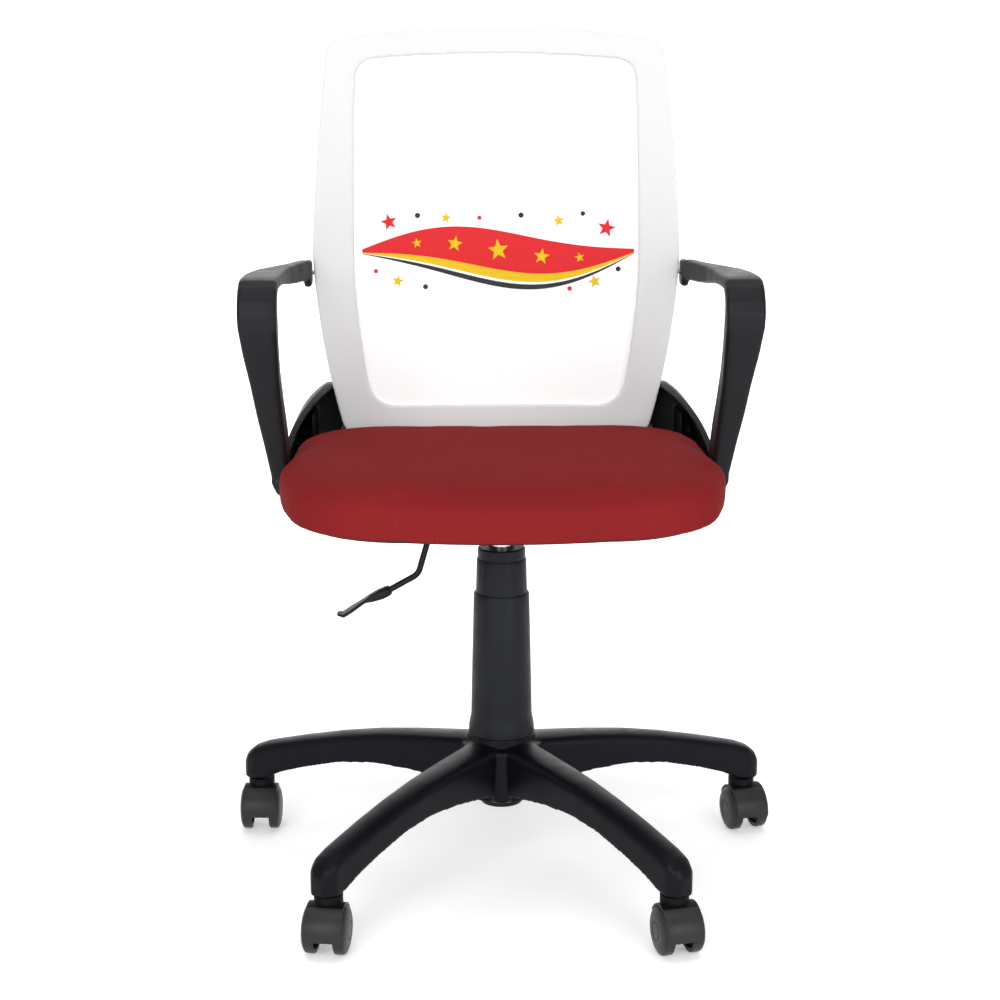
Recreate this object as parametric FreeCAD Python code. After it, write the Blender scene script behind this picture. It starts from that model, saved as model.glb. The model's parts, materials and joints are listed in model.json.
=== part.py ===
"""Swivel chair for a children's salon: five-star base, gas lift, cushion, loop arms and mesh back.

Millimetres. The origin is on the floor under the column, +Z is up and the sitter faces -Y.
Left and right are as seen from the front, so left is -X. One STEP file is written per piece.
"""
import FreeCAD, Part
import math
import os

V = FreeCAD.Vector
X_AXIS = V(1, 0, 0)
Y_AXIS = V(0, 1, 0)
Z_AXIS = V(0, 0, 1)

# Clearances
overrun = 20.0              # how far a cutting tool runs past what it cuts
loft_degree = 3
running_gap = 0.05          # radial play of a shaft in its bore
seat_gap = 0.15             # play between fixed pieces with curved seats
slide_gap = 0.3             # play between pieces that pass or lie beside each other

# Star base
stem_reach = 300.0       # column axis to each caster stem
leg_count = 5
base_turn = -1.5            # degrees that the star is turned under the seat
leg_foot_z = 60.4           # underside of a leg over its caster
hub_top_z = 150.0
hub_low_z = 78.0
hub_top_r = 37.0
hub_foot_r = 43.0
hub_collar_h = 9.0
hub_collar_r = 38.2
hub_socket_wall = 5.0
hub_skirt_wall = 3.5
hub_rib_t = 2.5
hub_roof_t = 8.0
leg_hub_half_w = 24.0
leg_tip_r = 15.8
leg_wall = 3.2
leg_corner_r = 9.0
leg_crown_angle = 17.0      # degrees of slope where the crowned top meets its rounded edge
leg_rib_t = 2.5
leg_rib_recess = 5.0
leg_tip_run = 4.0           # straight stretch past the stem before the rounded tip

# Gas spring
tube_r = 25.0
tube_wall = 1.6
tube_low_z = 66.0
tube_top_z = 303.0
tube_foot_r = 23.3
tube_floor_t = 3.0
tube_floor_rise = 6.0
bush_len = 88.0
bush_flange_t = 3.0
cylinder_r = 14.0
cylinder_wall = 2.0
cylinder_low_z = 150.0
cylinder_cap_t = 12.0
cone_low_z = 374.0
cone_top_z = 397.5
cone_top_r = 13.4
bore_top_z = 368.0
rod_r = 5.0
rod_foot_r = 4.0
piston_z = 250.0
piston_h = 12.0
shoulder_r = 9.0
shoulder_t = 4.0
bearing_r = 10.0
bearing_washer_t = 1.0
bearing_cage_t = 2.0
bump_r = 12.0
bump_h = 15.0
clip_r = 7.0
clip_t = 1.2
pin_r = 4.0
pin_len = 30.0
pin_top_z = 403.5
lift_down = 45.0
lift_up = 75.0

# Column cover
upper_top_z = 364.0
upper_r = 26.4
upper_wall = 1.15
upper_cap_t = 3.0
upper_len = 120.0
middle_top_z = 351.0
middle_len = 160.0
middle_top_r = 27.6
middle_foot_r = 28.6
middle_lip_h = 6.0
middle_wall = 1.1
lower_top_z = 312.0
lower_top_r = 31.0
lower_waist_r = 33.0
lower_waist_z = 228.0
lower_foot_r = 34.2
lower_foot_z = 171.0
lower_flare_r = 36.8
lower_flare_h = 7.0
lower_wall = 1.8
lower_lip_h = 7.0
cover_chamfer = 1.5

# Seat plate and lever
plate_t = 2.5
plate_w = 180.0
plate_d = 230.0
plate_corner_r = 14.0
plate_bolt_dx = 150.0
plate_bolt_dy = 200.0
channel_w = 66.0
channel_d = 178.0
channel_floor_z = 394.0
channel_corner_r = 10.0
socket_wall = 3.5
lever_rod_r = 3.5
lever_z = 407.6
lever_inner_x = 14.0
lever_bend_x = 71.0
lever_knee_x = 92.6
lever_knee_z = 332.6
lever_end_x = 141.0
lever_end_z = 305.8
lever_bend_r = 10.0
lever_knee_r = 16.0
lever_bush_r = 6.3
lever_bush_len = 7.0
lever_bush_flange_r = 8.5
lever_bush_flange_t = 1.5
lever_bush_play = 0.6
grip_w = 16.0
grip_t = 11.0
blade_w = 23.0
blade_t = 3.6
blade_len = 38.0
grip_len = 33.0
grip_bore_share = 0.6        # how much of the grip the rod fills
grip_droop_share = 0.25      # fall of the blade for its length
blade_curl_share = 0.5       # rise of the blade's tip for its length

# Seat
board_low_z = 420.0
board_t = 12.0
board_inset = 24.0
dust_t = 0.8
dust_inset = 16.0
seat_front_y = -236.0
seat_back_y = 185.0
seat_wide_y = -63.0
seat_wide_half = 239.5
seat_front_in = 40.5         # how far the front corners stand in from the widest place, then the rear ones
seat_front_half = seat_wide_half - seat_front_in
seat_back_in = 14.0
seat_back_half = seat_wide_half - seat_back_in
seat_front_bow = 12.0
seat_front_corner_r = 115.0
seat_side_r = 285.0
seat_back_corner_r = 81.0
seat_belly_z = 450.0
seat_top_z = 475.0
seat_low_inset = 12.3
seat_crown_run = 120.0
seat_crown_powers = (2.7, 0.3)    # how quickly the top levels off inwards, then how steeply it starts

# Board fixings
bolt_r = 4.0
bolt_head_flats = 13.0
bolt_head_h = 5.3
washer_r = 8.0
washer_t = 1.6
nut_barrel_r = 5.2
nut_flange_flats = 18.0
nut_flange_t = 1.6
nut_len = 11.0
nut_space_inset = 3.0       # the foam's recess over the nuts, in from the board's edge

# Armrests
arm_foot_y = 46.0
arm_foot_w = 54.0
arm_foot_t = 9.0
arm_low_bend_r = 18.0
arm_low_bend_share = 0.8     # where the straight post starts, for the low bend's rise
arm_side_gap = 6.0          # how far the post's middle stands out past the seat's widest place
arm_post_x = seat_wide_half + arm_side_gap
arm_foot_run = 112.5        # from the foot's free end to the post's middle
arm_foot_x = arm_post_x - arm_foot_run
arm_bolt_ins = (93.5, 59.5)     # from the post's middle to each bolt of the foot
arm_bolt_xs = tuple(arm_post_x - bolt_in for bolt_in in arm_bolt_ins)
arm_post_t = 20.0
arm_top_z = 662.0
arm_splay = 15.5            # how far the top leans out over the post's foot
arm_top_x = arm_post_x + arm_splay
arm_top_w = 42.5
arm_top_t = 15.0
arm_top_bend_r = 30.0
arm_turn_power = 0.7         # how quickly the section deepens round the top bend
arm_lean = 22.0             # degrees that the post leans forward
arm_rear_w = 17.0
arm_rear_t = 24.0
arm_pad_gap = 0.6
arm_pad_t = 9.0
arm_pad_h = 33.0
arm_pad_low_z = arm_top_z - arm_pad_h
arm_pad_front_y = 205.0
arm_pad_back_y = 240.0
arm_pad_corner_r = 9.0
arm_edge_r = 4.5
screw_r = 2.5
screw_head_r = 5.5
screw_head_h = 2.6
screw_len = 30.0

# Back brackets
bracket_front_y = 80.0
bracket_back_y = 243.0
bracket_out = 9.5            # how far the scoop stands out past the seat's widest place
bracket_foot_x = seat_wide_half + bracket_out
bracket_w = 99.0
bracket_inner_x = bracket_foot_x - bracket_w
bracket_belly_in = 13.0      # how far the scoop's side has drawn in at its belly, then at its top
bracket_belly_x = bracket_foot_x - bracket_belly_in
bracket_belly_z = 481.0
bracket_top_in = 53.0
bracket_top_x = bracket_foot_x - bracket_top_in
bracket_top_z = 517.0
bracket_rim_w = 8.5
bracket_floor_t = 10.2
bracket_rear_wall = 6.0
bracket_rib_t = 3.0
bracket_rib_shares = (0.35, 0.7)
bracket_knee_share = 0.3
bracket_heel_shares = (0.2, 0.35)
bracket_heel_mid_shares = (0.72, 0.36)
bracket_top_inset_shares = (0.6, 0.8)
bracket_seat_gap = 1.5
bracket_front_z = 441.0
bracket_mid_y = 135.0
bracket_mid_z = 477.0
bracket_rear_z = 512.0
bracket_bolt_in = 88.0
bracket_bolt_x = bracket_foot_x - bracket_bolt_in
bracket_bolt_ys = (98.0, 134.0)
back_screw_places = ((168.0, 463.0), (184.0, 492.0))

# Back
back_t = 16.0
back_low_z = 442.0
back_top_z = 931.0
back_top_drop = 13.0
back_top_half = 200.0
back_upper_half = 212.0
back_upper_share = 0.7014    # how high up the back this width stands
back_upper_z = back_low_z + back_upper_share * (back_top_z - back_low_z)
back_wide_half = 218.7
back_wide_share = 0.4683
back_wide_z = back_low_z + back_wide_share * (back_top_z - back_low_z)
back_lower_half = 206.5
back_lower_share = 0.2413
back_lower_z = back_low_z + back_lower_share * (back_top_z - back_low_z)
back_low_half = 179.0
back_top_corner_r = 22.0
back_low_corner_r = 34.0
back_sag = 18.0
back_half_span = 260.0
back_side_y = 205.0
back_rake = 80.0
back_rake_places = ((0.0, 0.0), (0.15, 0.03), (0.33, 0.09), (0.51, 0.24), (0.70, 0.475), (1.0, 1.0))
back_span_under = 12.0       # how far the curved layers run past the back, below and above
back_span_over = 29.0
back_span_low_z = back_low_z - back_span_under
back_span_top_z = back_top_z + back_span_over
window_low_in = 43.5         # the rails' heights, at the bottom and at the top
window_top_in = 30.0
window_low_z = back_low_z + window_low_in
window_top_z = back_top_z - window_top_in
window_top_drop = 8.0
window_top_half = 167.0
window_wide_half = 170.0
window_wide_share = 0.42
window_wide_z = window_low_z + window_wide_share * (window_top_z - window_low_z)
window_lower_half = 161.5
window_lower_share = 0.1793
window_lower_z = window_low_z + window_lower_share * (window_top_z - window_low_z)
window_low_half = 149.0
window_top_corner_r = 24.0
window_low_corner_r = 34.0
rebate_w = 9.0
rebate_depth = 6.0
mesh_t = 1.0
spline_w = 6.0
spline_t = 5.0

# Casters
caster_trail = -10.0        # Y of the axle from the stem, before the caster is turned
wheel_r = 25.0
wheel_w = 13.4
wheel_gap = 20.6            # distance between the two wheels of a caster
wheel_tread_w = 8.2
wheel_face_r = 12.0
wheel_rim_t = 4.0
wheel_web_t = 3.0
wheel_hub_r = 7.0
wheel_bulge_angle = 38.0
wheel_hub_len = 3.0         # what the hub stands proud of the web, inside the wheel
axle_r = 3.0
hood_r = 28.0
hood_wheel_gap = 0.8
hood_w = 38.4
hood_low_z = 21.5
hood_rear_angle = 30.0      # degrees above the horizontal where the hood ends behind the axle
neck_r = 15.0
neck_foot_r = 17.5
neck_shoulder_z = 50.0
stem_r = 5.5
stem_len = 34.0
stem_sunk = 14.0
caster_turns = (4.0, -1.0, -9.0, 14.0, 15.0)


def polar(radius, degrees, height=0.0):
    """A point at an angle about the column axis."""
    angle = math.radians(degrees)
    return V(radius * math.cos(angle), radius * math.sin(angle), height)


def outline(points):
    """A closed face through corner points."""
    return Part.Face(Part.makePolygon(list(points) + [points[0]]))


def turned(profile, axis_at=V(0, 0, 0), axis=Z_AXIS):
    """A solid of revolution from (radius, height) corners about the Z axis."""
    face = outline([V(r, 0, z) for r, z in profile])
    return face.revolve(axis_at, axis, 360)


def cylinder(radius, low_z, top_z, x=0.0, y=0.0):
    """An upright cylinder."""
    return Part.makeCylinder(radius, top_z - low_z, V(x, y, low_z))


def block(low, high):
    """A box between two corners."""
    return Part.makeBox(high[0] - low[0], high[1] - low[1], high[2] - low[2], V(*low))


def along(edges, direction):
    """Straight edges of a solid that run along a direction."""
    found = []
    for edge in edges:
        if len(edge.Vertexes) == 2:
            run = edge.Vertexes[1].Point.sub(edge.Vertexes[0].Point)
            if run.Length > 0 and abs(run.dot(direction)) > 0.999 * run.Length:
                found.append(edge)
    return found


def hexagon(flats, low_z, height, x, y):
    """A hexagonal prism measured across its flats."""
    corner_r = flats / math.sqrt(3)
    corners = [V(x, y, low_z).add(polar(corner_r, 60 * k)) for k in range(6)]
    return outline(corners).extrude(V(0, 0, height))


def mirrored(shape):
    """The same piece on the other side of the chair."""
    return shape.mirror(V(0, 0, 0), X_AXIS)


def rounded_section(centre, tangent, hint, across, thick, corner):
    """A rounded rectangle square to a path; across runs along the hint."""
    along_hint = hint.sub(V(tangent).multiply(hint.dot(tangent)))
    along_hint.normalize()
    other = tangent.cross(along_hint)
    half_a = across / 2
    half_b = thick / 2
    corner = min(corner, half_a * 0.9, half_b * 0.9)
    bite = corner * (1 - math.sqrt(0.5))

    def at(a, b):
        return centre.add(V(along_hint).multiply(a)).add(V(other).multiply(b))

    edges = []
    for sa, sb in ((1, 1), (-1, 1), (-1, -1), (1, -1)):
        first = at(sa * half_a, sb * (half_b - corner))
        middle = at(sa * (half_a - bite), sb * (half_b - bite))
        last = at(sa * (half_a - corner), sb * half_b)
        if sa * sb < 0:
            first, last = last, first
        if edges:
            edges.append(Part.makeLine(edges[-1].Vertexes[-1].Point, first))
        else:
            start = first
        edges.append(Part.Arc(first, middle, last).toShape())
    edges.append(Part.makeLine(edges[-1].Vertexes[-1].Point, start))
    return Part.Wire(edges)


def leg_stations():
    """Reach, half width, top and underside of a leg, as shares of the sizes they follow."""
    reach_shares = (0.067, 0.20, 0.35, 0.50, 0.65, 0.80, 0.90, 0.967)
    width_shares = (1.0, 0.912, 0.817, 0.758, 0.732, 0.703, 0.68, 0.66)
    top_shares = (0.943, 0.911, 0.877, 0.826, 0.744, 0.636, 0.555, 0.497)
    under_shares = (0.276, 0.336, 0.401, 0.428, 0.375, 0.246, 0.136, 0.03)
    rise = hub_top_z - leg_foot_z
    rows = []
    for reach, width, top, under in zip(reach_shares, width_shares, top_shares, under_shares):
        rows.append((reach * stem_reach, width * leg_hub_half_w, leg_foot_z + top * rise,
                     leg_foot_z + under * rise))
    tip_shares = ((0.0, 0.435), (0.55, 0.36), (0.88, 0.25))
    for reach, top in tip_shares:
        half_w = leg_tip_r * math.sqrt(1 - reach ** 2)
        rows.append((stem_reach + leg_tip_run + reach * leg_tip_r, half_w,
                     leg_foot_z + top * rise, leg_foot_z))
    return rows


def crowned_section(reach, half_w, low_z, high_z, corner):
    """A leg's cross-section: flat below, upright sides, rounded and crowned on top."""
    corner = min(corner, half_w * 0.7, (high_z - low_z) * 0.6)
    slope = math.radians(leg_crown_angle)
    crown_r = (half_w - corner) / math.sin(slope) + corner
    shoulder_z = high_z - corner * math.cos(slope) - crown_r * (1 - math.cos(slope))
    arc_end_x = half_w - corner + corner * math.sin(slope)
    arc_end_z = shoulder_z + corner * math.cos(slope)
    middle_angle = (math.pi / 2 - slope) / 2
    arc_mid_x = half_w - corner + corner * math.cos(middle_angle)
    arc_mid_z = shoulder_z + corner * math.sin(middle_angle)

    def at(y, z):
        return V(reach, y, z)

    return Part.Wire([
        Part.makeLine(at(-half_w, low_z), at(half_w, low_z)),
        Part.makeLine(at(half_w, low_z), at(half_w, shoulder_z)),
        Part.Arc(at(half_w, shoulder_z), at(arc_mid_x, arc_mid_z), at(arc_end_x, arc_end_z)).toShape(),
        Part.Arc(at(arc_end_x, arc_end_z), at(0, high_z), at(-arc_end_x, arc_end_z)).toShape(),
        Part.Arc(at(-arc_end_x, arc_end_z), at(-arc_mid_x, arc_mid_z), at(-half_w, shoulder_z)).toShape(),
        Part.makeLine(at(-half_w, shoulder_z), at(-half_w, low_z)),
    ])


def leg_body():
    """One leg along +X, without its hollow."""
    wires = [crowned_section(reach, half_w, low_z, high_z, leg_corner_r)
             for reach, half_w, high_z, low_z in leg_stations()]
    return Part.makeLoft(wires, True, True)


def leg_hollow():
    """The hollow under one leg with its ribs left standing."""
    wires = []
    for reach, half_w, high_z, low_z in leg_stations()[1:7]:
        wires.append(crowned_section(reach, half_w - leg_wall, low_z - overrun, high_z - leg_wall,
                                     leg_corner_r - leg_wall))
    hollow = Part.makeLoft(wires, True, True)
    rows = leg_stations()
    ribs = []
    for (reach, half_w, high_z, low_z), (next_reach, _, _, next_low_z) in zip(rows[1:6], rows[2:7]):
        foot_z = max(low_z, next_low_z) + leg_rib_recess
        ribs.append(block((reach, -leg_rib_t / 2, foot_z), (next_reach, leg_rib_t / 2, hub_top_z)))
        ribs.append(block((next_reach - leg_rib_t / 2, -half_w, foot_z),
                          (next_reach + leg_rib_t / 2, half_w, hub_top_z)))
    return hollow.cut(ribs[0].fuse(ribs[1:]))


def leg_angle(index):
    """Direction of a leg; the first one points backwards."""
    return 90 + base_turn + index * 360 / leg_count


def star_base():
    """Moulded five-leg base with its tapered hub and hollow, ribbed legs."""
    hub = turned([(0, hub_low_z), (hub_foot_r, hub_low_z), (hub_top_r, hub_top_z - hub_collar_h),
                  (hub_collar_r, hub_top_z - hub_collar_h), (hub_collar_r, hub_top_z), (0, hub_top_z)])
    leg = leg_body().cut(leg_hollow()).cut(cylinder(hub_top_r - hub_skirt_wall / 2, 0, 2 * hub_top_z))
    shape = hub
    for index in range(leg_count):
        arm = leg.copy()
        arm.rotate(V(0, 0, 0), Z_AXIS, leg_angle(index))
        shape = shape.fuse(arm)
    socket_r = tube_foot_r + hub_socket_wall
    skirt = turned([(socket_r, hub_low_z - overrun), (hub_foot_r - hub_skirt_wall, hub_low_z - overrun),
                    (hub_top_r - hub_skirt_wall, hub_top_z - hub_collar_h - hub_roof_t),
                    (socket_r, hub_top_z - hub_collar_h - hub_roof_t)])
    ribs = []
    for index in range(2 * leg_count):
        rib = block((0, -hub_rib_t / 2, hub_low_z + leg_rib_recess), (hub_foot_r, hub_rib_t / 2, hub_top_z))
        rib.rotate(V(0, 0, 0), Z_AXIS, leg_angle(index / 2))
        ribs.append(rib)
    shape = shape.cut(skirt.cut(ribs[0].fuse(ribs[1:])))
    shape = shape.cut(tube_envelope(seat_gap))
    for index in range(leg_count):
        place = polar(stem_reach, leg_angle(index))
        bore = cylinder(stem_r + running_gap, leg_foot_z - overrun, leg_foot_z + stem_len - stem_sunk,
                        place.x, place.y)
        shape = shape.cut(bore)
    return shape.removeSplitter()


def tube_envelope(grow):
    """The outside of the gas spring's tube: straight above the hub and tapered in it."""
    return turned([(0, tube_low_z - grow), (tube_foot_r + grow, tube_low_z - grow),
                   (tube_r + grow, hub_top_z), (tube_r + grow, tube_top_z + grow),
                   (0, tube_top_z + grow)])


def gas_tube():
    """Outer tube of the gas spring, with the floor that carries the piston rod."""
    floor_z = tube_low_z + tube_floor_rise
    inner_r = tube_r - tube_wall
    foot_inner_r = tube_foot_r - tube_wall
    inside = turned([(0, floor_z + tube_floor_t), (foot_inner_r, floor_z + tube_floor_t),
                     (inner_r, hub_top_z), (inner_r, tube_top_z + overrun), (0, tube_top_z + overrun)])
    below = cylinder(foot_inner_r, tube_low_z - overrun, floor_z)
    hole = cylinder(rod_foot_r + running_gap, floor_z - overrun, floor_z + overrun)
    return tube_envelope(0).cut(inside).cut(below).cut(hole)


def guide_bush():
    """Plastic sleeve in the tube's mouth that the chrome cylinder slides in."""
    inner_r = tube_r - tube_wall - seat_gap
    return turned([(cylinder_r + running_gap, tube_top_z - bush_len), (inner_r, tube_top_z - bush_len),
                   (inner_r, tube_top_z), (tube_r - seat_gap, tube_top_z),
                   (tube_r - seat_gap, tube_top_z + bush_flange_t),
                   (cylinder_r + running_gap, tube_top_z + bush_flange_t)])


def bearing_low_z():
    """Top of the tube's floor, where the bearing lies."""
    return tube_low_z + tube_floor_rise + tube_floor_t


def thrust_bearing():
    """Two washers with a cage of rollers between them."""
    pieces = []
    z = bearing_low_z()
    for height, radius in ((bearing_washer_t, bearing_r), (bearing_cage_t, bearing_r - bearing_washer_t),
                           (bearing_washer_t, bearing_r)):
        pieces.append(cylinder(radius, z, z + height).cut(
            cylinder(rod_foot_r + running_gap, z - overrun, z + height + overrun)))
        z += height
    return Part.makeCompound(pieces)


def shoulder_z():
    """Underside of the rod's shoulder, just over the bearing."""
    return bearing_low_z() + 2 * bearing_washer_t + bearing_cage_t + running_gap


def piston_rod():
    """Piston rod with its shoulder, clip groove and piston."""
    foot_z = tube_low_z
    groove_z = tube_low_z + tube_floor_rise - clip_t - running_gap
    rod = cylinder(rod_foot_r, foot_z, shoulder_z())
    rod = rod.fuse([cylinder(shoulder_r, shoulder_z(), shoulder_z() + shoulder_t),
                    cylinder(rod_r, shoulder_z(), piston_z + piston_h),
                    cylinder(cylinder_r - cylinder_wall - running_gap, piston_z, piston_z + piston_h)])
    groove = cylinder(rod_r, groove_z, groove_z + clip_t).cut(
        cylinder(rod_foot_r - clip_t / 2, groove_z, groove_z + clip_t))
    return rod.cut(groove).removeSplitter()


def rod_clip():
    """Open ring that holds the rod under the tube's floor."""
    low_z = tube_low_z + tube_floor_rise - clip_t - running_gap
    clip = cylinder(clip_r, low_z, low_z + clip_t).cut(
        cylinder(rod_foot_r - clip_t / 2 + running_gap, low_z - overrun, low_z + overrun))
    mouth = block((0, -clip_r / 3, low_z - overrun), (clip_r + overrun, clip_r / 3, low_z + overrun))
    return clip.cut(mouth)


def bump_stop():
    """Rubber ring that ends the cylinder's way down."""
    low_z = shoulder_z() + shoulder_t
    return turned([(rod_r + running_gap, low_z), (bump_r, low_z), (bump_r, low_z + bump_h * 0.6),
                   (bump_r * 0.8, low_z + bump_h), (rod_r + running_gap, low_z + bump_h)])


def gas_cylinder():
    """Chrome cylinder with its tapered head, open inside for the piston."""
    outside = turned([(0, cylinder_low_z), (cylinder_r - cover_chamfer, cylinder_low_z),
                      (cylinder_r, cylinder_low_z + cover_chamfer), (cylinder_r, cone_low_z),
                      (cone_top_r, cone_top_z), (0, cone_top_z)])
    inside = cylinder(cylinder_r - cylinder_wall, cylinder_low_z + cylinder_cap_t, bore_top_z)
    rod_hole = cylinder(rod_r + running_gap, cylinder_low_z - overrun, cylinder_low_z + overrun)
    pin_hole = cylinder(pin_r + running_gap, bore_top_z - overrun, cone_top_z + overrun)
    return outside.cut(inside).cut(rod_hole).cut(pin_hole)


def release_pin():
    """Valve pin in the cylinder's head, with a rounded top."""
    dome = turned([(0, pin_top_z - pin_len), (pin_r, pin_top_z - pin_len), (pin_r, pin_top_z - pin_r / 4),
                   (pin_r * 0.7, pin_top_z), (0, pin_top_z)])
    return dome


def upper_cover():
    """Top stage of the column cover, which grips the chrome cylinder."""
    low_z = upper_top_z - upper_len
    inner_r = upper_r - upper_wall
    return turned([(inner_r, low_z), (upper_r, low_z), (upper_r, upper_top_z - cover_chamfer),
                   (upper_r - cover_chamfer, upper_top_z), (cylinder_r + seat_gap, upper_top_z),
                   (cylinder_r + seat_gap, upper_top_z - upper_cap_t),
                   (inner_r, upper_top_z - upper_cap_t)])


def middle_cover():
    """Middle stage of the column cover, with the lip that guides the top stage."""
    low_z = middle_top_z - middle_len
    lip_z = middle_top_z - middle_lip_h
    inner_r = middle_foot_r - middle_wall
    return turned([(inner_r, low_z), (middle_foot_r, low_z), (middle_foot_r, lower_top_z),
                   (middle_top_r, middle_top_z - cover_chamfer / 2),
                   (middle_top_r - cover_chamfer / 3, middle_top_z), (upper_r + slide_gap, middle_top_z),
                   (upper_r + slide_gap, lip_z), (middle_top_r - middle_wall / 2, lip_z - middle_lip_h),
                   (inner_r, lower_top_z)])


def lower_cover():
    """Lowest stage of the column cover, standing on the hub with a flared foot."""
    lip_z = lower_top_z - lower_lip_h
    return turned([(lower_flare_r - lower_wall, hub_top_z), (lower_flare_r, hub_top_z),
                   (lower_flare_r, hub_top_z + lower_flare_h),
                   (lower_foot_r, lower_foot_z), (lower_waist_r, lower_waist_z),
                   (lower_top_r, lower_top_z - cover_chamfer),
                   (lower_top_r - cover_chamfer / 2, lower_top_z), (middle_foot_r + slide_gap, lower_top_z),
                   (middle_foot_r + slide_gap, lip_z), (lower_top_r - lower_wall, lip_z - lower_lip_h),
                   (lower_waist_r - lower_wall, lower_waist_z), (lower_foot_r - lower_wall, lower_foot_z),
                   (lower_flare_r - lower_wall, hub_top_z + lower_flare_h)])


def seat_top_face_z():
    """Level where the steel plate, armrests and brackets meet the seat."""
    return board_low_z - dust_t


def plate_bolt_places():
    """Centres of the four seat plate bolts."""
    return [(sx * plate_bolt_dx / 2, sy * plate_bolt_dy / 2) for sx in (-1, 1) for sy in (-1, 1)]


def arm_bolt_places():
    """Centres of the armrest bolts, both sides."""
    return [(side * x, arm_foot_y) for side in (-1, 1) for x in arm_bolt_xs]


def bracket_bolt_places():
    """Centres of the back bracket bolts, both sides."""
    return [(side * bracket_bolt_x, y) for side in (-1, 1) for y in bracket_bolt_ys]


def board_bolt_places():
    """Every bolt that goes up into the seat board."""
    return plate_bolt_places() + arm_bolt_places() + bracket_bolt_places()


def board_bolts(places, clamped_t):
    """Hexagon bolts with washers, up through a clamped part into the board."""
    face_z = seat_top_face_z() - clamped_t
    bolts = []
    for x, y in places:
        bolt = hexagon(bolt_head_flats, face_z - washer_t - bolt_head_h, bolt_head_h, x, y)
        bolt = bolt.fuse([cylinder(washer_r, face_z - washer_t, face_z, x, y),
                          cylinder(bolt_r, face_z - washer_t, board_low_z + nut_len, x, y)])
        bolts.append(bolt.removeSplitter())
    return Part.makeCompound(bolts)


def bolt_holes(places, radius):
    """Cutters for the bolts' clearance holes."""
    return [cylinder(radius, bracket_low_z() - overrun, board_low_z + board_t + overrun, x, y)
            for x, y in places]


def tee_nuts():
    """Flanged nuts let into the board from its top, one for each bolt."""
    nuts = []
    top_z = board_low_z + board_t
    for x, y in board_bolt_places():
        nut = cylinder(nut_barrel_r, top_z - nut_len, top_z, x, y)
        nut = nut.fuse(hexagon(nut_flange_flats, top_z, nut_flange_t, x, y))
        nut = nut.cut(cylinder(bolt_r + running_gap, top_z - nut_len - overrun, top_z + overrun, x, y))
        nuts.append(nut.removeSplitter())
    return Part.makeCompound(nuts)


def seat_plate():
    """Pressed steel plate with a channel for the lever and a tapered socket."""
    top_z = seat_top_face_z()
    flange = block((-plate_w / 2, -plate_d / 2, top_z - plate_t), (plate_w / 2, plate_d / 2, top_z))
    flange = flange.makeFillet(plate_corner_r, along(flange.Edges, Z_AXIS))
    channel = block((-channel_w / 2, -channel_d / 2, channel_floor_z), (channel_w / 2, channel_d / 2, top_z))
    channel = channel.makeFillet(channel_corner_r, along(channel.Edges, Z_AXIS))
    hollow = block((-channel_w / 2 + plate_t, -channel_d / 2 + plate_t, channel_floor_z + plate_t),
                   (channel_w / 2 - plate_t, channel_d / 2 - plate_t, top_z + overrun))
    hollow = hollow.makeFillet(channel_corner_r - plate_t, along(hollow.Edges, Z_AXIS))
    socket = turned([(0, cone_low_z), (cylinder_r + socket_wall, cone_low_z),
                     (cone_top_r + socket_wall, channel_floor_z + plate_t), (0, channel_floor_z + plate_t)])
    cone = turned([(0, cone_low_z - overrun), (cylinder_r + seat_gap, cone_low_z - overrun),
                   (cylinder_r + seat_gap, cone_low_z), (cone_top_r + seat_gap, cone_top_z),
                   (cone_top_r + seat_gap, top_z), (0, top_z)])
    lever_hole = Part.makeCylinder(lever_bush_r + seat_gap, channel_w / 2, V(-channel_w / 4, 0, lever_z),
                                   V(-1, 0, 0))
    shape = flange.fuse([channel, socket]).cut(hollow).cut(cone).cut(lever_hole)
    return shape.cut(bolt_holes(plate_bolt_places(), bolt_r + slide_gap)).removeSplitter()


def lever_bush():
    """Nylon grommet in the channel's wall that the lever rocks in."""
    flange_x = -channel_w / 2 - lever_bush_flange_t
    body = Part.makeCylinder(lever_bush_r, lever_bush_len, V(flange_x, 0, lever_z), X_AXIS)
    flange = Part.makeCylinder(lever_bush_flange_r, lever_bush_flange_t, V(flange_x, 0, lever_z), X_AXIS)
    bore = Part.makeCylinder(lever_rod_r + lever_bush_play, lever_bush_len + 2 * overrun,
                             V(flange_x - overrun, 0, lever_z), X_AXIS)
    return body.fuse(flange).cut(bore).removeSplitter()


def bent_path(corners, radii):
    """A wire of straight runs joined by tangent arcs at the inner corners."""
    edges = []
    start = corners[0]
    for before, corner, after, radius in zip(corners, corners[1:], corners[2:], radii):
        into = corner.sub(before).normalize()
        out = after.sub(corner).normalize()
        half_turn = into.getAngle(out) / 2
        setback = radius * math.tan(half_turn)
        arc_start = corner.sub(V(into).multiply(setback))
        arc_end = corner.add(V(out).multiply(setback))
        inward = V(out).sub(into).normalize()
        arc_middle = corner.add(inward.multiply(radius * (1 / math.cos(half_turn) - 1)))
        edges.append(Part.makeLine(start, arc_start))
        edges.append(Part.Arc(arc_start, arc_middle, arc_end).toShape())
        start = arc_end
    edges.append(Part.makeLine(start, corners[-1]))
    return Part.Wire(edges)


def lever_rod():
    """Bent steel rod from over the release pin out to the handle."""
    path = bent_path([V(lever_inner_x, 0, lever_z), V(-lever_bend_x, 0, lever_z),
                      V(-lever_knee_x, 0, lever_knee_z), V(-lever_end_x, 0, lever_end_z)],
                     [lever_bend_r, lever_knee_r])
    section = Part.Wire(Part.makeCircle(lever_rod_r, V(lever_inner_x, 0, lever_z), X_AXIS))
    return path.makePipeShell([section], True, False)


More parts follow.
